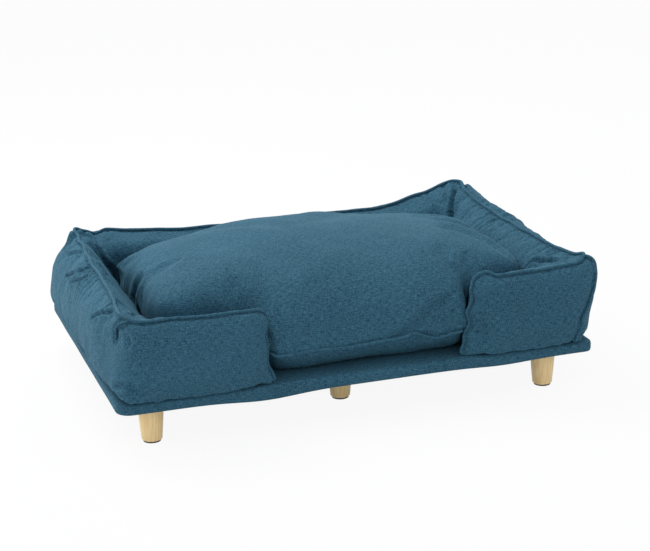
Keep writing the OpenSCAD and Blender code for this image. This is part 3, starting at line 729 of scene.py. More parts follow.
class SofaCushion(bpy.types.PropertyGroup):
    face: bpy.props.FloatProperty(
        name="Face size",
        description="Size of the cushion's even faces before the last subdivision",
        unit="LENGTH", default=0.006)
    fill: bpy.props.FloatProperty(
        name="Fill", description="How full the cushion is", subtype="FACTOR",
        default=0.6, min=0, max=1)


class SofaStage(bpy.types.PropertyGroup):
    key: bpy.props.FloatProperty(
        name="Key light", description="Power of the large lamp overhead",
        unit="POWER", default=38.0)
    fill: bpy.props.FloatProperty(
        name="Fill light", description="Strength of the light from all round", default=0.87)


# Operators

class SOFA_OT_stage(bpy.types.Operator):
    """Sets the camera, the pale floor and the soft studio light"""
    bl_idname = "sofa.stage"
    bl_label = "Stage"

    def execute(self, context):
        scene = context.scene
        s = scene.sofa_stage
        yaw, pitch, roll = math.radians(17.98), math.radians(17.64), math.radians(-1.33)
        ahead = Vector((math.sin(yaw) * math.cos(pitch), math.cos(yaw) * math.cos(pitch),
                        -math.sin(pitch)))
        right = Vector((math.cos(yaw), -math.sin(yaw), 0))
        up = right.cross(ahead)
        tilted_right = right * math.cos(roll) + up * math.sin(roll)
        tilted_up = up * math.cos(roll) - right * math.sin(roll)
        data = bpy.data.cameras.new("camera")
        data.lens, data.sensor_width, data.clip_end = 99.96, 36, 60
        camera = piece("camera", data)
        turn = Matrix((tilted_right, tilted_up, -ahead)).transposed().to_4x4()
        camera.matrix_world = Matrix.Translation((-1.0973, -3.4989, 1.3677)) @ turn
        scene.camera = camera
        scene.view_settings.view_transform = "Standard"

        bm = bmesh.new()
        bmesh.ops.create_grid(bm, x_segments=1, y_segments=1, size=30)
        floor = from_bm("studio_floor", bm)
        dress(floor, self.floor_finish())

        world = bpy.data.worlds.new("studio")
        scene.world = world
        w = self.emptied(world)
        soft = w.shader("ShaderNodeBackground", Strength=s.fill, Color=(0.97, 0.985, 1, 1))
        white = w.shader("ShaderNodeBackground", Strength=1.0, Color=(1, 1, 1, 1))
        w.join(w.by_sight(soft, white), w.node("ShaderNodeOutputWorld").inputs[0])

        self.lamp("key", (-0.8, 1.15, 2.4), size=1.6, power=s.key)
        self.lamp("side", (-2.2, 1.2, 0.9), size=0.8, power=s.key * 0.30)
        return {"FINISHED"}

    def lamp(self, name, where, size, power):
        data = bpy.data.lights.new(name, "AREA")
        data.shape = "SQUARE"
        data.size = size
        data.energy = power
        obj = piece(name, data)
        obj.location = where
        to_bed = Vector((0, 0, 0.15)) - Vector(where)
        obj.rotation_euler = to_bed.to_track_quat("-Z", "Y").to_euler()

    def emptied(self, owner):
        owner.use_nodes = True
        owner.node_tree.nodes.clear()
        return Wiring(owner.node_tree)

    def floor_finish(self):
        """A floor that looks white and takes a share of the shadow."""
        material = bpy.data.materials.new("studio_floor")
        w = self.emptied(material)
        pale = w.shader("ShaderNodeBsdfDiffuse", Color=(0.8, 0.8, 0.8, 1))
        glow = w.shader("ShaderNodeEmission", Strength=1.0)
        shaded = w.fed(w.node("ShaderNodeMixShader"), 0.08, glow, pale)
        w.join(w.by_sight(pale, shaded), w.node("ShaderNodeOutputMaterial").inputs[0])
        return material


class SOFA_OT_base(bpy.types.Operator):
    """Makes the upholstered base with its turned-in hem"""
    bl_idname = "sofa.base"
    bl_label = "Upholstered base"

    def execute(self, context):
        bm = bmesh.new()
        bmesh.ops.create_cube(bm, size=1)
        for axis, cuts in ((0, 123), (1, 87), (2, 5)):
            along = [e for e in bm.edges if abs((e.verts[0].co - e.verts[1].co)[axis]) > 1e-4]
            bmesh.ops.subdivide_edges(bm, edges=along, cuts=cuts, use_grid_fill=True)
        bmesh.ops.scale(bm, verts=bm.verts, vec=BASE_HIGH - BASE_LOW)
        bmesh.ops.translate(bm, verts=bm.verts, vec=(BASE_HIGH + BASE_LOW) / 2)
        obj = from_bm("base_upholstery", bm)
        put_points(obj.data, self.rounded(points_of(obj.data)))
        smooth_faces(obj.data)
        finished(obj, fabric_finish(), "base", ["base_cover"], fill=0.8)
        return {"FINISHED"}

    def rounded(self, p):
        """The box with round corners and edges, its hem, and what hand-stretched cloth does."""
        half = np.array([(BASE_HIGH.x - BASE_LOW.x) / 2, (BASE_HIGH.y - BASE_LOW.y) / 2])
        top, bottom = BASE_HIGH.z, BASE_LOW.z
        radius, edge, low_edge = np.where(p[:, 0] > 0, 0.018, 0.030), 0.008, 0.0014
        flat = p.copy()
        # Plan: corners rounded
        inner = half - radius[:, None]
        q = np.clip(flat[:, :2], -inner, inner)
        out = flat[:, :2] - q
        span = np.linalg.norm(out, axis=1)
        box = np.max(np.abs(out), axis=1)
        flat[:, :2] = q + out * np.where(span > 1e-9, box / np.maximum(span, 1e-9), 1)[:, None]
        # Edges: rolled over above and below
        d = flat[:, :2] - np.clip(flat[:, :2], -inner, inner)
        n = np.linalg.norm(d, axis=1)
        to_side = half - np.abs(p[:, :2])
        depth = np.minimum(radius - n, np.min(to_side, axis=1))
        every, side = np.arange(len(p)), np.argmin(to_side, axis=1)
        out_way = np.zeros((len(p), 2))
        out_way[every, side] = np.sign(p[every, side])
        corner = np.all(np.abs(d) > 1e-9, axis=1)
        out_way[corner] = d[corner] / n[corner][:, None]
        wall = depth < 1e-6
        for height, r in ((flat[:, 2] - (top - edge), edge),
                          (bottom + low_edge - flat[:, 2], low_edge)):
            a = np.clip(height / r, 0, 1)
            flat[:, :2] -= out_way * (wall * r * (1 - np.sqrt(1 - a * a)))[:, None]
        on_top = (p[:, 2] > top - 1e-6) & ~wall
        fall = np.clip(1 - depth / 0.02, 0, 1)
        flat[on_top, :2] -= (out_way * (edge * fall ** 2)[:, None])[on_top]
        # The hem lies lower than the lined middle
        inside = np.min(to_side - 0.030, axis=1)
        under = p[:, 2] < bottom + 1e-6
        flat[under, 2] += 0.0022 * ease(inside[under] / 0.006)
        # Slight unevenness, and the front edge that sags in two places
        way = np.zeros_like(flat)
        way[:, :2] = out_way * wall[:, None]
        way[:, 2] = on_top
        flat += way * (0.00025 * ripple(flat, 5, 0.16))[:, None]
        sag = 0.0075 * hill(flat[:, 0], -0.20, 0.085) + 0.004 * hill(flat[:, 0], 0.30, 0.07)
        flat[:, 0] += 0.008 * over(flat[:, 0], 0.38, 0.09)
        front = over(-flat[:, 1], half[1] - 0.022, 0.018)
        flat[:, 2] -= sag * front * over(top - 0.005, flat[:, 2], 0.012)
        return flat


class SOFA_OT_legs(bpy.types.Operator):
    """Turns the six wooden legs"""
    bl_idname = "sofa.legs"
    bl_label = "Turned legs"

    def execute(self, context):
        s = context.scene.sofa_legs
        wood = finish_of("pale_wood", "straight_grain",
                         {"Early Wood": (*s.early_wood, 1), "Late Wood": (*s.late_wood, 1),
                          "Ring Width": s.ring_width}, 0.25, 0.0002,
                         Coat_Weight=0.25, Coat_Roughness=0.3)
        for name in LEGS:
            low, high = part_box(name)
            middle = (low + high) / 2
            top_r = (high.x - low.x) / 2
            foot_r = top_r * 41 / 54
            tall = high.z - low.z
            rows = [(0.0, 0), (foot_r - 0.0024, 0), (foot_r - 0.0018, 0.0003),
                    (foot_r - 0.0003, 0.0018), (foot_r, 0.0024),
                    (foot_r + (top_r - foot_r) * 0.5, tall * 0.5), (top_r - 0.0006, tall - 0.0012),
                    (top_r - 0.0008, tall - 0.0003), (top_r - 0.0014, tall), (0.0, tall)]
            bm = bmesh.new()
            verts = [bm.verts.new((r, 0, z)) for r, z in rows]
            edges = [bm.edges.new(pair) for pair in zip(verts, verts[1:])]
            bmesh.ops.spin(bm, geom=verts + edges, cent=(0, 0, 0), axis=(0, 0, 1),
                           angle=2 * math.pi, steps=64, use_merge=True)
            bmesh.ops.remove_doubles(bm, verts=bm.verts, dist=1e-6)
            bmesh.ops.recalc_face_normals(bm, faces=bm.faces)
            bmesh.ops.translate(bm, verts=bm.verts, vec=(middle.x, middle.y, low.z))
            for f in bm.faces:
                f.smooth = abs(f.normal.z) < 0.9
            finished(from_bm(name + "_turned", bm), wood, "base", [name])
        return {"FINISHED"}


class SOFA_OT_surround(bpy.types.Operator):
    """Makes the stuffed surround and the piping over its rim"""
    bl_idname = "sofa.surround"
    bl_label = "Stuffed surround"

    # Ears and dips of the rim: place, reach and push
    corners = ((0.487, -0.325, 0.024, (0.005, -0.002, 0.013)),
               (-0.442, 0.262, 0.020, (-0.008, 0.001, 0.006)),
               (-0.424, 0.277, 0.013, (0, 0, -0.006)),
               (-0.402, 0.290, 0.018, (0.001, 0.0, -0.013)),
               (0.30, 0.29, 0.09, (0, 0, -0.009)),
               (0.395, 0.288, 0.03, (0, 0, -0.005)),
               (0.455, 0.280, 0.032, (0.014, 0.005, 0.003)),
               (-0.472, -0.302, 0.035, (0.007, 0.0, 0.003)))
    # The seam down the right arm's front corner, and the one that curls up at the left arm's
    corner_line = [(0.486, -0.333, 0.286), (0.5, -0.337, 0.272), (0.497, -0.352, 0.248),
                   (0.493, -0.353, 0.216), (0.483, -0.357, 0.187), (0.472, -0.358, 0.156),
                   (0.460, -0.360, 0.128), (0.456, -0.359, 0.112)]
    knot_line = [(-0.455, -0.321, 0.2625), (-0.467, -0.316, 0.259), (-0.4735, -0.300, 0.250),
                 (-0.478, -0.292, 0.2390), (-0.4785, -0.295, 0.2290), (-0.4775, -0.2992, 0.2181)]
    # Folds: places along each, width and depth
    folds = (
        # left arm, outer side below the rim
        ([(-0.493, 0.1409, 0.2198), (-0.481, 0.0469, 0.2569),
          (-0.4579, 0.0228, 0.2687)], 0.0036, 0.0090),
        ([(-0.4953, 0.0824, 0.2231), (-0.4855, 0.0161, 0.2471),
          (-0.4697, -0.0129, 0.2602)], 0.0034, 0.0075),
        ([(-0.4796, 0.2038, 0.2447), (-0.4672, 0.1735, 0.2574),
          (-0.4556, 0.1411, 0.2685)], 0.0040, 0.0055),
        ([(-0.4936, -0.1653, 0.2215), (-0.4831, -0.2024, 0.2413),
          (-0.4737, -0.2474, 0.2605)], 0.0040, 0.0085),
        # left arm, inner side
        ([(-0.4443, 0.0475, 0.271), (-0.432, 0.060, 0.268),
          (-0.418, 0.070, 0.258)], 0.0034, 0.0050),
        ([(-0.4487, -0.0139, 0.2686), (-0.434, 0.0, 0.266),
          (-0.420, 0.012, 0.256)], 0.0034, 0.0050),
        # its front corner, from the base up to the knot
        ([(-0.4936, -0.3122, 0.1233), (-0.4865, -0.3315, 0.117),
          (-0.478, -0.345, 0.1085)], 0.0050, 0.0060),
        ([(-0.4876, -0.3242, 0.137), (-0.4634, -0.3555, 0.1397),
          (-0.4335, -0.3659, 0.1291)], 0.0055, 0.0050),
        ([(-0.4754, -0.362, 0.15), (-0.455, -0.366, 0.128),
          (-0.4296, -0.362, 0.113)], 0.008, 0.0038),
        ([(-0.4835, -0.338, 0.2455), (-0.481, -0.349, 0.2375),
          (-0.479, -0.3553, 0.2283)], 0.0055, 0.006),
        # right arm, foot of its front corner
        ([(0.481, -0.358, 0.142), (0.474, -0.364, 0.133), (0.4627, -0.3649, 0.1268)], 0.006, 0.004))
    # Creases in the inner corners: three alike, out from the inner walls, and the back right one
    crease = ((0.058, 0.050, 0.283), (0.041, 0.018, 0.269), (0.038, -0.008, 0.258),
              (0.024, -0.014, 0.231), (0.012, -0.014, 0.211), (-0.005, -0.002, 0.187),
              (0.0, 0.0, 0.14))
    back_crease = [(0.4475, 0.270, 0.285), (0.4434, 0.26, 0.280), (0.438, 0.247, 0.262),
                   (0.4332, 0.235, 0.235), (0.425, 0.225, 0.205), (0.405, 0.23, 0.17),
                   (IN_W, IN_D, 0.14)]
    knot_hole = np.array([-0.4750, -0.2953, 0.2306])

    def execute(self, context):
        s = context.scene.sofa_surround
        bm = outer_skins(SURROUND)
        self.close_corners(bm)
        quads_again(bm)
        obj = even_skin("surround_cover", bm, s.face, rounds=4)
        rim_start = Vector((-0.19, -0.33, COVER_Z))
        rim = through(in_order(ring_centres("rim_welt"), rim_start), STEP)

        p = self.leaned(points_of(obj.data), rim)
        put_points(obj.data, p)
        _, away = nearest(p, rim)
        inner = over(0.055, self.inside_of(p), 0.05)
        held = (away < 0.007) | (p[:, 2] < COVER_Z + 0.006)
        swell(obj, held, pressure=4.0, growth=0.015, cap=0.009 - 0.006 * inner, keep=0.45)

        target = self.rim_shape(rim)
        on_skin = laid_on(skin_tree(obj), rim, 0.0)
        seat = target - np.array([0, 0, 0.0022])
        shift = averaged(seat - on_skin, 7)
        put_points(obj.data, drawn_to(points_of(obj.data), on_skin, on_skin + shift, 0.022))
        seated(obj, seat, (0.013, 0.010))
        finer(obj)
        self.work(obj, target, s)
        seated(obj, seat, (0.008, 0.006))
        smooth_faces(obj.data)
        cloth = fabric_finish()
        finished(obj, cloth, "surround", SURROUND, fill=s.fill)

        r = context.scene.sofa_fabric.piping
        piping = tube("rim_piping", target, r, seed=3)
        finished(piping, cloth, "surround", ["rim_welt"])
        tree = skin_tree(obj)
        for name, line, share in (("front_right_corner_piping", self.corner_line, 1.0),
                                  ("front_left_knot_piping", self.knot_line, 0.62)):
            path = laid_on(tree, through(line, STEP), 0.0016)
            extra = tube(name, averaged(path, 5), r * share, seed=8)
            finished(extra, cloth, "surround")
        return {"FINISHED"}

    def close_corners(self, bm):
        """Neighbouring compartments reach into each other, and their ends keep their edge."""
        ends = set()
        for v in bm.verts:
            sx, sy = (1 if v.co.x > 0 else -1), (1 if v.co.y > 0 else -1)
            way = Vector((sx, -sy, 0)) / math.sqrt(2)
            d = way.dot(v.co - Vector((sx * IN_W, sy * IN_D, v.co.z)))
            if abs(d) < 0.0006:
                v.co -= way * (d + math.copysign(0.0015, d))
                ends.add(v)
        crease = bm.edges.layers.float.new("crease_edge")
        for e in bm.edges:
            if e.verts[0] in ends and e.verts[1] in ends:
                e[crease] = 1.0

    def leaned(self, p, rim):
        """Presses the inner side of each arm in below its rim, and fills the outer side out."""
        x, y, z = p.T
        p = p.copy()
        index, _ = nearest(p, rim)
        ridge = rim[index]
        in_x = np.sign(x) * (ridge[:, 0] - x)
        along = over(0.24, np.abs(y), 0.05)
        press = ease(in_x / 0.02) * over(np.abs(x), 0.3, 0.03) * hill(z, 0.232, 0.034)
        inward = np.where(x < 0, -0.026, 0.008 + 0.018 * over(y, 0.08, 0.1))
        p[:, 0] += inward * press * (0.45 + 0.55 * along)
        # The right arm's outer side fills out, the left arm's lies further in
        fuller = ease(-in_x / 0.012) * over(z, 0.2, 0.04) * over(0.30, np.abs(y), 0.06) * (x > 0.4)
        p[:, 2] += fuller * (0.0015 + 0.007 * over(y, -0.18, 0.1) + 0.003 * over(y, -0.05, 0.1))
        p[:, 0] += fuller * (0.001 + 0.003 * over(y, -0.05, 0.1))
        p[:, 0] += 0.010 * over(-x, 0.44, 0.04) * over(z, 0.13, 0.06) * over(0.275, z, 0.02)
        # The corners follow the rim's ears, and the back right one is pulled in
        p += 0.7 * self.pushed(p) * over(z, 0.2, 0.06)[:, None]
        corner = hill(x, 0.405, 0.042) * hill(y, 0.225, 0.042) * over(z, 0.16, 0.05)
        p[:, 0] += 0.020 * corner
        p[:, 1] += 0.006 * corner
        # The back's inner wall leans forward below its rim
        wall = over(y, 0.2, 0.02) * over(0.40, np.abs(x), 0.04) * over(ridge[:, 1], y, 0.018)
        p[:, 1] -= 0.013 * wall * hill(z, 0.243, 0.027)
        # The left arm narrows towards its front corner, whose edge stands out
        taper = over(-y, 0.17, 0.16) * over(-x, 0.42, 0.05) * over(0.262, z, 0.025)
        p[:, 0] += 0.022 * taper * (0.5 + 0.5 * over(z, 0.115, 0.04))
        edge = hill(x, -0.497, 0.022) * hill(y, -0.343, 0.022) * over(0.255, z, 0.03)
        p[:, 1] -= 0.012 * edge
        p[:, 0] -= 0.002 * edge
        # The right front arm ends nearer to its corner, and that corner tucks in at its foot
        end = over(0.27, x, 0.035) * over(x, 0.17, 0.02) * over(-y, 0.2, 0.03)
        p[:, 0] += 0.016 * end * over(z, 0.12, 0.05)
        tuck = over(0.205, z, 0.06) * hill(x, 0.50, 0.035) * hill(y, -0.36, 0.05)
        p[:, 0] -= 0.012 * tuck
        p[:, 1] += 0.004 * tuck
        p[:, 0] += 0.005 * over(z, 0.2, 0.03) * hill(x, 0.50, 0.03) * hill(y, -0.34, 0.05)
        return p

    def pushed(self, p):
        """The ears and dips of the rim's corners."""
        total = np.zeros_like(p)
        for at_x, at_y, reach, push in self.corners:
            near = hill(p[:, 0], at_x, reach) * hill(p[:, 1], at_y, reach)
            total += near[:, None] * np.array(push)
        return total

    def inside_of(self, p):
        """How far a point lies from the surround's inner wall."""
        return np.maximum(np.abs(p[:, 0]) - IN_W, np.abs(p[:, 1]) - IN_D)

    def rim_shape(self, rim):
        """The piping's line: the solid's, a little wavy, its feet turned out."""
        out = rim.copy()
        x, y, z = rim.T
        for axis, (seed, wave, height) in enumerate(((21, 0.07, 0.0013), (22, 0.07, 0.0013),
                                                     (23, 0.09, 0.0011))):
            out[:, axis] += ripple(rim, seed, wave) * height
        ends = (y < -0.29) & (np.abs(x) < 0.3)
        out += self.pushed(rim)
        out[:, 0] += 0.007 * over(-x, 0.43, 0.02) * over(0.22, y, 0.06) * over(y, -0.30, 0.05)
        foot = over(0.15, z, 0.045) * ends
        left = foot * (x < 0)
        right = foot * (x > 0)
        out[:, 0] += 0.010 * left - 0.016 * right
        out[:, 1] += -0.018 * left - 0.012 * right
        lean = 0.006 + 0.008 * over(z, 0.19, 0.04)
        out[:, 0] += lean * ends * (x > 0) * over(z, 0.14, 0.05) * over(0.30, x, 0.05)
        out[:, 2] += 0.004 * hill(x, 0.245, 0.015) * ends * (x > 0) * over(z, 0.2, 0.04)
        fall = ends * over(0.25, z, 0.02) * over(z, 0.118, 0.02)
        out[:, 0] += fall * np.where(x > 0, 0.0035 * np.sin((z - 0.11) * 2 * math.pi / 0.047),
                                     0.0012 * np.sin((z - 0.1) * 2 * math.pi / 0.06))
        return out

    def work(self, obj, rim, s):
        """Pleats, dents and the folds that the stuffing leaves."""
        mesh, tree = obj.data, skin_tree(obj)
        p, n = points_of(mesh), normals_of(mesh)
        index, away = nearest(p, rim)
        run = index * STEP
        x, y, z = p.T
        arm = over(np.abs(x), 0.34, 0.04)
        front = over(-y, 0.26, 0.03)
        loose = 0.35 + 0.65 * arm * (1 - 0.7 * front)
        h = gathers(run, away, s.pleats, reach=0.020, seed=4) * loose
        h += gathers(run * 0.6, away, 0.0024, reach=0.055, seed=6) * loose * arm * (1 - front)
        h += 0.0014 * ripple(p, 11, 0.11) * (0.5 + 0.5 * loose)
        h += 0.0005 * ripple(p, 12, 0.035) * loose
        low = hill(z, COVER_Z, 0.022)
        h += 0.0005 * ripple(p * np.array([1, 1, 0.2]), 13, 0.03) * low
        h -= 0.0034 * hill(away, 0.0056, 0.0024)
        for line in (self.corner_line, self.knot_line):
            _, off = nearest(p, laid_on(tree, through(line, FINE_STEP), 0.0))
            h -= 0.0042 * hill(off, 0.0062, 0.0026)
        p += n * h[:, None]
        for line, width, depth in self.folds:
            p = fold(tree, p, n, line, width, depth)
        for sx, sy in ((-1, -1), (-1, 1), (1, -1)):
            line = [(sx * (IN_W + k), sy * (IN_D + m), h) for k, m, h in self.crease]
            p = fold(tree, p, n, line, width=0.0050, depth=0.012, start=0.3)
        p = fold(tree, p, n, self.back_crease, width=0.0045, depth=0.012, lip=0.25, start=0.3)
        hole = np.linalg.norm((p - self.knot_hole) * np.array([1, 1, 0.6]), axis=1)
        p -= n * (0.017 * hill(hole, 0, 0.0052))[:, None]
        # The lower edge comes down onto the base beside the tape
        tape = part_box("hook_strips")[1]
        line_x, line_y = tape.x - 0.0125, tape.y - 0.0125
        off_x, off_y = np.abs(np.abs(p[:, 0]) - line_x), np.abs(np.abs(p[:, 1]) - line_y)
        strip = (off_x < 0.020) | (off_y < 0.020)
        down = over(COVER_Z + 0.016, p[:, 2], 0.014) * ~strip
        p[:, 2] -= 0.0024 * down
        past = np.maximum(p[:, 0] - BASE_HIGH.x, np.abs(p[:, 1]) - BASE_HIGH.y)
        p[:, 2] -= 0.006 * over(past, -0.002, 0.008) * over(0.150, p[:, 2], 0.04)
        side = over(-p[:, 0], 0.46, 0.03) * over(p[:, 1], -0.345, 0.02)
        p[:, 0] += 0.007 * side * over(COVER_Z + 0.016, p[:, 2], 0.014)
        put_points(mesh, p)


class SOFA_OT_cushion(bpy.types.Operator):
    """Makes the loose seat cushion and the piping in its seam"""
    bl_idname = "sofa.cushion"
    bl_label = "Seat cushion"

    # Swells and hollows of the top: place, reach each way and lift
    mounds = ((-0.17, 0.06, 0.17, 0.15, 0.017), (-0.39, 0.18, 0.075, 0.10, -0.034),
              (0.11, 0.14, 0.09, 0.12, 0.013), (0.34, 0.15, 0.09, 0.09, -0.021),
              (0.39, -0.10, 0.05, 0.12, -0.008))
    # Folds: places along each, width and depth
    folds = (
        # front, over the seam
        ([(0.072, -0.3229, 0.1534), (0.1182, -0.3207, 0.1771), (0.1648, -0.3115, 0.2061),
          (0.205, -0.300, 0.2226)], 0.0085, 0.0062),
        ([(0.1175, -0.3222, 0.162), (0.135, -0.3222, 0.156),
          (0.158, -0.3222, 0.1498)], 0.008, 0.004),
        # left end
        ([(-0.372, 0.035, 0.180), (-0.3664, 0.0181, 0.1924), (-0.371, -0.012, 0.225),
          (-0.3700, -0.0405, 0.2608)], 0.009, 0.006),
        # right end, from the top towards the arm
        ([(0.27, 0.06, 0.287), (0.325, 0.01, 0.283), (0.375, -0.06, 0.268)], 0.013, 0.0085),
        ([(0.29, -0.02, 0.287), (0.335, -0.07, 0.278), (0.375, -0.15, 0.262)], 0.011, 0.0070),
        ([(0.27, -0.08, 0.287), (0.32, -0.13, 0.278), (0.36, -0.21, 0.255)], 0.012, 0.0045))

    def execute(self, context):
        s = context.scene.sofa_cushion
        bm = self.shell()
        quads_again(bm)
        obj = even_skin("seat_cushion_cover", bm, s.face, rounds=5)
        seam_start = Vector((0, 0.23, 0.15))
        seam = through(in_order(ring_centres("cushion_welt"), seam_start), STEP, closed=True)
        surround = skin_tree(bpy.data.objects["surround_cover"])
        p = points_of(obj.data)
        even = evened(p, edges_of(obj.data), 90)
        p += over(p[:, 2], 0.2, 0.05)[:, None] * (even - p)
        p = kept_off(self.filled_out(p), surround, 0.0015)
        moved = p - points_of(obj.data)
        p += evened(moved, edges_of(obj.data), 3) - moved
        put_points(obj.data, p)
        _, away = nearest(p, seam)
        flank = over(0.2, p[:, 2], 0.05)
        zip_near = (np.abs(p[:, 0]) < 0.27) & (p[:, 1] > 0.17) & (p[:, 2] < 0.15)
        held = (away < 0.009) | (p[:, 2] < SEAT_Z + 0.004) | zip_near
        swell(obj, held, pressure=4.0, growth=0.012, cap=0.010 - 0.006 * flank, keep=0.3)

        target = self.seam_shape(seam)
        on_skin = laid_on(skin_tree(obj), seam, 0.0)
        inward = on_skin - seam
        inward /= np.maximum(np.linalg.norm(inward, axis=1), 1e-9)[:, None]
        seat = target + inward * 0.0012
        shift = averaged(seat - on_skin, 7, closed=True)
        put_points(obj.data, drawn_to(points_of(obj.data), on_skin, on_skin + shift, 0.02))
        finer(obj)
        self.work(obj, target)
        put_points(obj.data, kept_off(points_of(obj.data), surround, 0.0006))
        cloth = fabric_finish()
        finished(obj, cloth, "seat_cushion", ["cushion_cover"], fill=s.fill)
        r = context.scene.sofa_fabric.piping
        piping = tube("cushion_piping", target, r, closed=True, seed=5)
        finished(piping, cloth, "seat_cushion", ["cushion_welt"])
        return {"FINISHED"}

    def shell(self):
        """The cushion's outside, with the slit for the zip closed."""
        bm = solids("cushion_cover")
        bm.normal_update()
        middle = Vector((-0.03, -0.03, 0.2))
        strip = Vector((0, 0.848, -0.53))  # the way that the face beside the zip looks
        gone = []
        for f in bm.faces:
            c = f.calc_center_median()
            near_zip = abs(c.x) < 0.232 and c.y > 0.19 and c.z < 0.145
            if f.normal.dot(c - middle) < 0 or near_zip and f.normal.dot(strip) < 0.9:
                gone.append(f)
        bmesh.ops.delete(bm, geom=gone, context="FACES")
        bmesh.ops.holes_fill(bm, edges=[e for e in bm.edges if e.is_boundary], sides=0)
        bmesh.ops.triangulate(bm, faces=[f for f in bm.faces if len(f.verts) > 4])
        return bm

    def filled_out(self, p):
        """The cushion leans on the right arm and on both front arms, and domes at the left."""
        x, y, z = p.T
        upper = over(z, 0.150, 0.05)
        out = p.copy()
        nose = over(0.225, np.abs(x - 0.02), 0.05)
        out[:, 0] += 0.027 * over(x, 0.19, 0.14) * upper
        out[:, 0] -= 0.004 * over(-x, 0.26, 0.1) * upper
        out[:, 1] -= 0.024 * over(-y, 0.07, 0.12) * upper * (1 - nose)
        out[:, 1] += 0.008 * over(y, 0.1, 0.1) * upper
        corner = over(x, 0.10, 0.08) * over(-y, 0.20, 0.06) * nose
        out[:, 0] += 0.034 * corner * over(z, 0.105, 0.012)
        out[:, 1] -= 0.012 * corner * over(x, 0.15, 0.05)
        top = over(z, 0.2, 0.06)
        for at_x, at_y, wide, deep, lift in self.mounds:
            out[:, 2] += top * lift * hill(x, at_x, wide) * hill(y, at_y, deep)
        return out

    def seam_shape(self, seam):
        """The piping's line: the solid's, a little wavy, raised where the nose bulges."""
        out = seam.copy()
        x, y, _ = seam.T
        nose = over(-y, 0.28, 0.02)
        out[:, 0] += 0.009 * nose * over(x, 0.14, 0.05)
        lift = 0.003 + 0.009 * hill(x, 0.118, 0.02) - 0.003 * hill(x, 0.165, 0.02)
        out[:, 2] += 0.0016 * ripple(seam, 31, 0.10) + nose * lift
        return out

    def work(self, obj, seam):
        """Puckers along the seam, dents and the long folds of a soft filling."""
        mesh, tree = obj.data, skin_tree(obj)
        p, n = points_of(mesh), normals_of(mesh)
        index, away = nearest(p, seam)
        x, y, z = p.T
        zip_side = over(y, 0.15, 0.02) * over(0.16, z, 0.01) * over(0.29, np.abs(x), 0.02)
        free = 1 - zip_side
        h = gathers(index * STEP, away, 0.0006, reach=0.022, seed=14)
        h += 0.0019 * ripple(p, 15, 0.17) + 0.0006 * ripple(p, 16, 0.06)
        h -= 0.0020 * hill(away, 0.0050, 0.002)
        p += n * (h * free)[:, None]
        for line, width, depth in self.folds:
            p = fold(tree, p, n, line, width, depth)
        p[:, 2] = np.maximum(p[:, 2], SEAT_Z)
        put_points(mesh, p)


class SOFA_OT_stuffing(bpy.types.Operator):
    """Makes the fibre fillings inside the covers"""
    bl_idname = "sofa.stuffing"
    bl_label = "Fibre fillings"

    def execute(self, context):
        fibre = speckled("fibre_fill", (0.75, 0.75, 0.74), (0.88, 0.88, 0.87), 500.0, 0.95,
                         spread=0.1, bump=0.3, distance=0.002)
        for name in SURROUND:
            node = name.replace("_cover", "_fill")
            self.fill(node, "surround_cover", "surround", fibre)
        self.fill("cushion_fill", "seat_cushion_cover", "seat_cushion", fibre)
        return {"FINISHED"}

    def fill(self, node, cover, body, fibre):
        bm = solids(node)
        quads_again(bm)
        bmesh.ops.recalc_face_normals(bm, faces=bm.faces)
        obj = even_skin(node + "ing", bm, voxel=0.008, rounds=16)
        p = points_of(obj.data) - 0.005 * normals_of(obj.data)
        if body == "surround":
            # The ends draw back from the corners' diagonals, further at the back right
            past = np.abs(p[:, 0]) - IN_W - np.abs(p[:, 1]) + IN_D
            far = (p[:, 0] > 0) & (p[:, 1] > 0)
            if node in ("left_arm_fill", "right_arm_fill"):
                p[:, 1] -= np.sign(p[:, 1]) * np.maximum(np.where(far, 0.085, 0.032) - past, 0)
            else:
                p[:, 0] -= np.sign(p[:, 0]) * np.maximum(np.where(far, 0.0, 0.032) + past, 0)
        tree = skin_tree(bpy.data.objects[cover])
        for gap in (0.014, 0.012, 0.010):
            p = kept_in(evened(p, edges_of(obj.data), 3), tree, gap)
        put_points(obj.data, p)
        smooth_faces(obj.data)
        finished(obj, fibre, body, [node], fill=0.6)


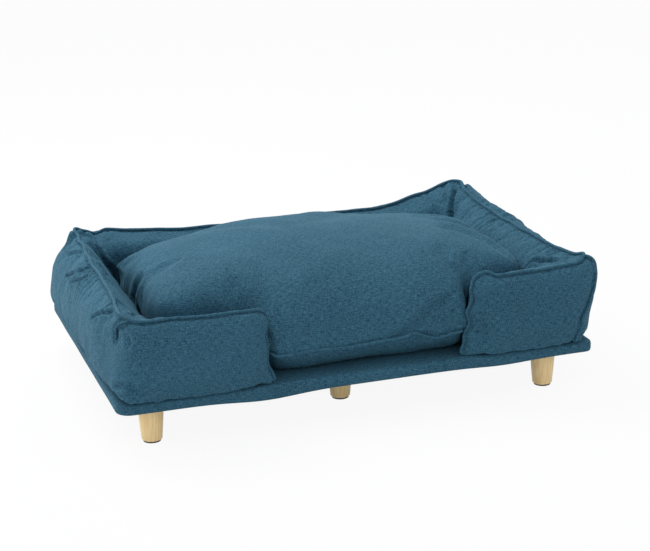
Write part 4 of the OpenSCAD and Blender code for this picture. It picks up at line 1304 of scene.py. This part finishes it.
class SOFA_OT_fittings(bpy.types.Operator):
    """Gives every part that stays as built its own finish"""
    bl_idname = "sofa.fittings"
    bl_label = "Fittings and fillings"

    def execute(self, context):
        steel = speckled("fastener_steel", (0.42, 0.43, 0.44), (0.6, 0.6, 0.6), 500, 0.38,
                         Metallic=1.0)
        tape = speckled("tape", (0.008, 0.03, 0.045), (0.03, 0.08, 0.11), 1500, 0.85, bump=0.6,
                        distance=0.0006)
        zip_metal = speckled("zip_metal", (0.3, 0.3, 0.31), (0.46, 0.46, 0.47), 800, 0.3,
                             Metallic=1.0)
        finishes = {
            "base_board": speckled("plywood", (0.46, 0.31, 0.17), (0.62, 0.45, 0.27), 260, 0.6,
                                   stretch=14),
            "base_foam": speckled("foam", (0.72, 0.66, 0.42), (0.8, 0.75, 0.55), 900, 0.9,
                                  distance=0.0006),
            "underside_lining": speckled("lining", (0.008, 0.008, 0.009), (0.028, 0.028, 0.03),
                                         1300, 0.85, bump=0.4),
            "lining_staples": speckled("staple_steel", (0.5, 0.5, 0.5), (0.66, 0.66, 0.66), 900,
                                       0.32, Metallic=1.0),
            "tee_nuts": steel, "hanger_bolts": steel,
            "leg_glides": speckled("glide_plastic", (0.010, 0.010, 0.011), (0.026, 0.026, 0.027),
                                   700, 0.5),
            "hook_strips": tape, "loop_strips": tape,
            "zip_tape": speckled("zip_tape", (0.02, 0.06, 0.09), (0.045, 0.12, 0.17), 1400, 0.7,
                                 bump=0.4),
            "zip_slider": zip_metal, "zip_stops": zip_metal, "zip_pull": zip_metal,
        }
        for name, material in finishes.items():
            dress(NODES[name], material)
        return {"FINISHED"}


class SOFA_PT_panel(bpy.types.Panel):
    """Lists the makers of the sofa bed's pieces"""
    bl_idname = "SOFA_PT_panel"
    bl_label = "Dog Sofa Bed"
    bl_space_type = "VIEW_3D"
    bl_region_type = "UI"
    bl_category = "Sofa Bed"

    def draw(self, context):
        layout = self.layout
        for settings in ("sofa_fabric", "sofa_legs", "sofa_surround", "sofa_cushion", "sofa_stage"):
            group = getattr(context.scene, settings)
            box = layout.box()
            for label in group.__annotations__:
                box.prop(group, label)
        for operator in STEPS:
            layout.operator(operator.bl_idname)


SETTINGS = {"sofa_fabric": SofaFabric, "sofa_legs": SofaLegs, "sofa_surround": SofaSurround,
            "sofa_cushion": SofaCushion, "sofa_stage": SofaStage}
STEPS = [SOFA_OT_stage, SOFA_OT_fittings, SOFA_OT_legs, SOFA_OT_base, SOFA_OT_surround,
         SOFA_OT_cushion, SOFA_OT_stuffing]


def register():
    for name, group in SETTINGS.items():
        bpy.utils.register_class(group)
        setattr(bpy.types.Scene, name, bpy.props.PointerProperty(type=group))
    for cls in [*STEPS, SOFA_PT_panel]:
        bpy.utils.register_class(cls)


def unregister():
    for cls in reversed([*STEPS, SOFA_PT_panel]):
        bpy.utils.unregister_class(cls)
    for name, group in SETTINGS.items():
        delattr(bpy.types.Scene, name)
        bpy.utils.unregister_class(group)


def main():
    register()
    bpy.ops.sofa.stage()
    bpy.ops.sofa.fittings()
    bpy.ops.sofa.legs()
    bpy.ops.sofa.base()
    bpy.ops.sofa.surround()
    bpy.ops.sofa.cushion()
    bpy.ops.sofa.stuffing()


if __name__ == "__main__":
    main()
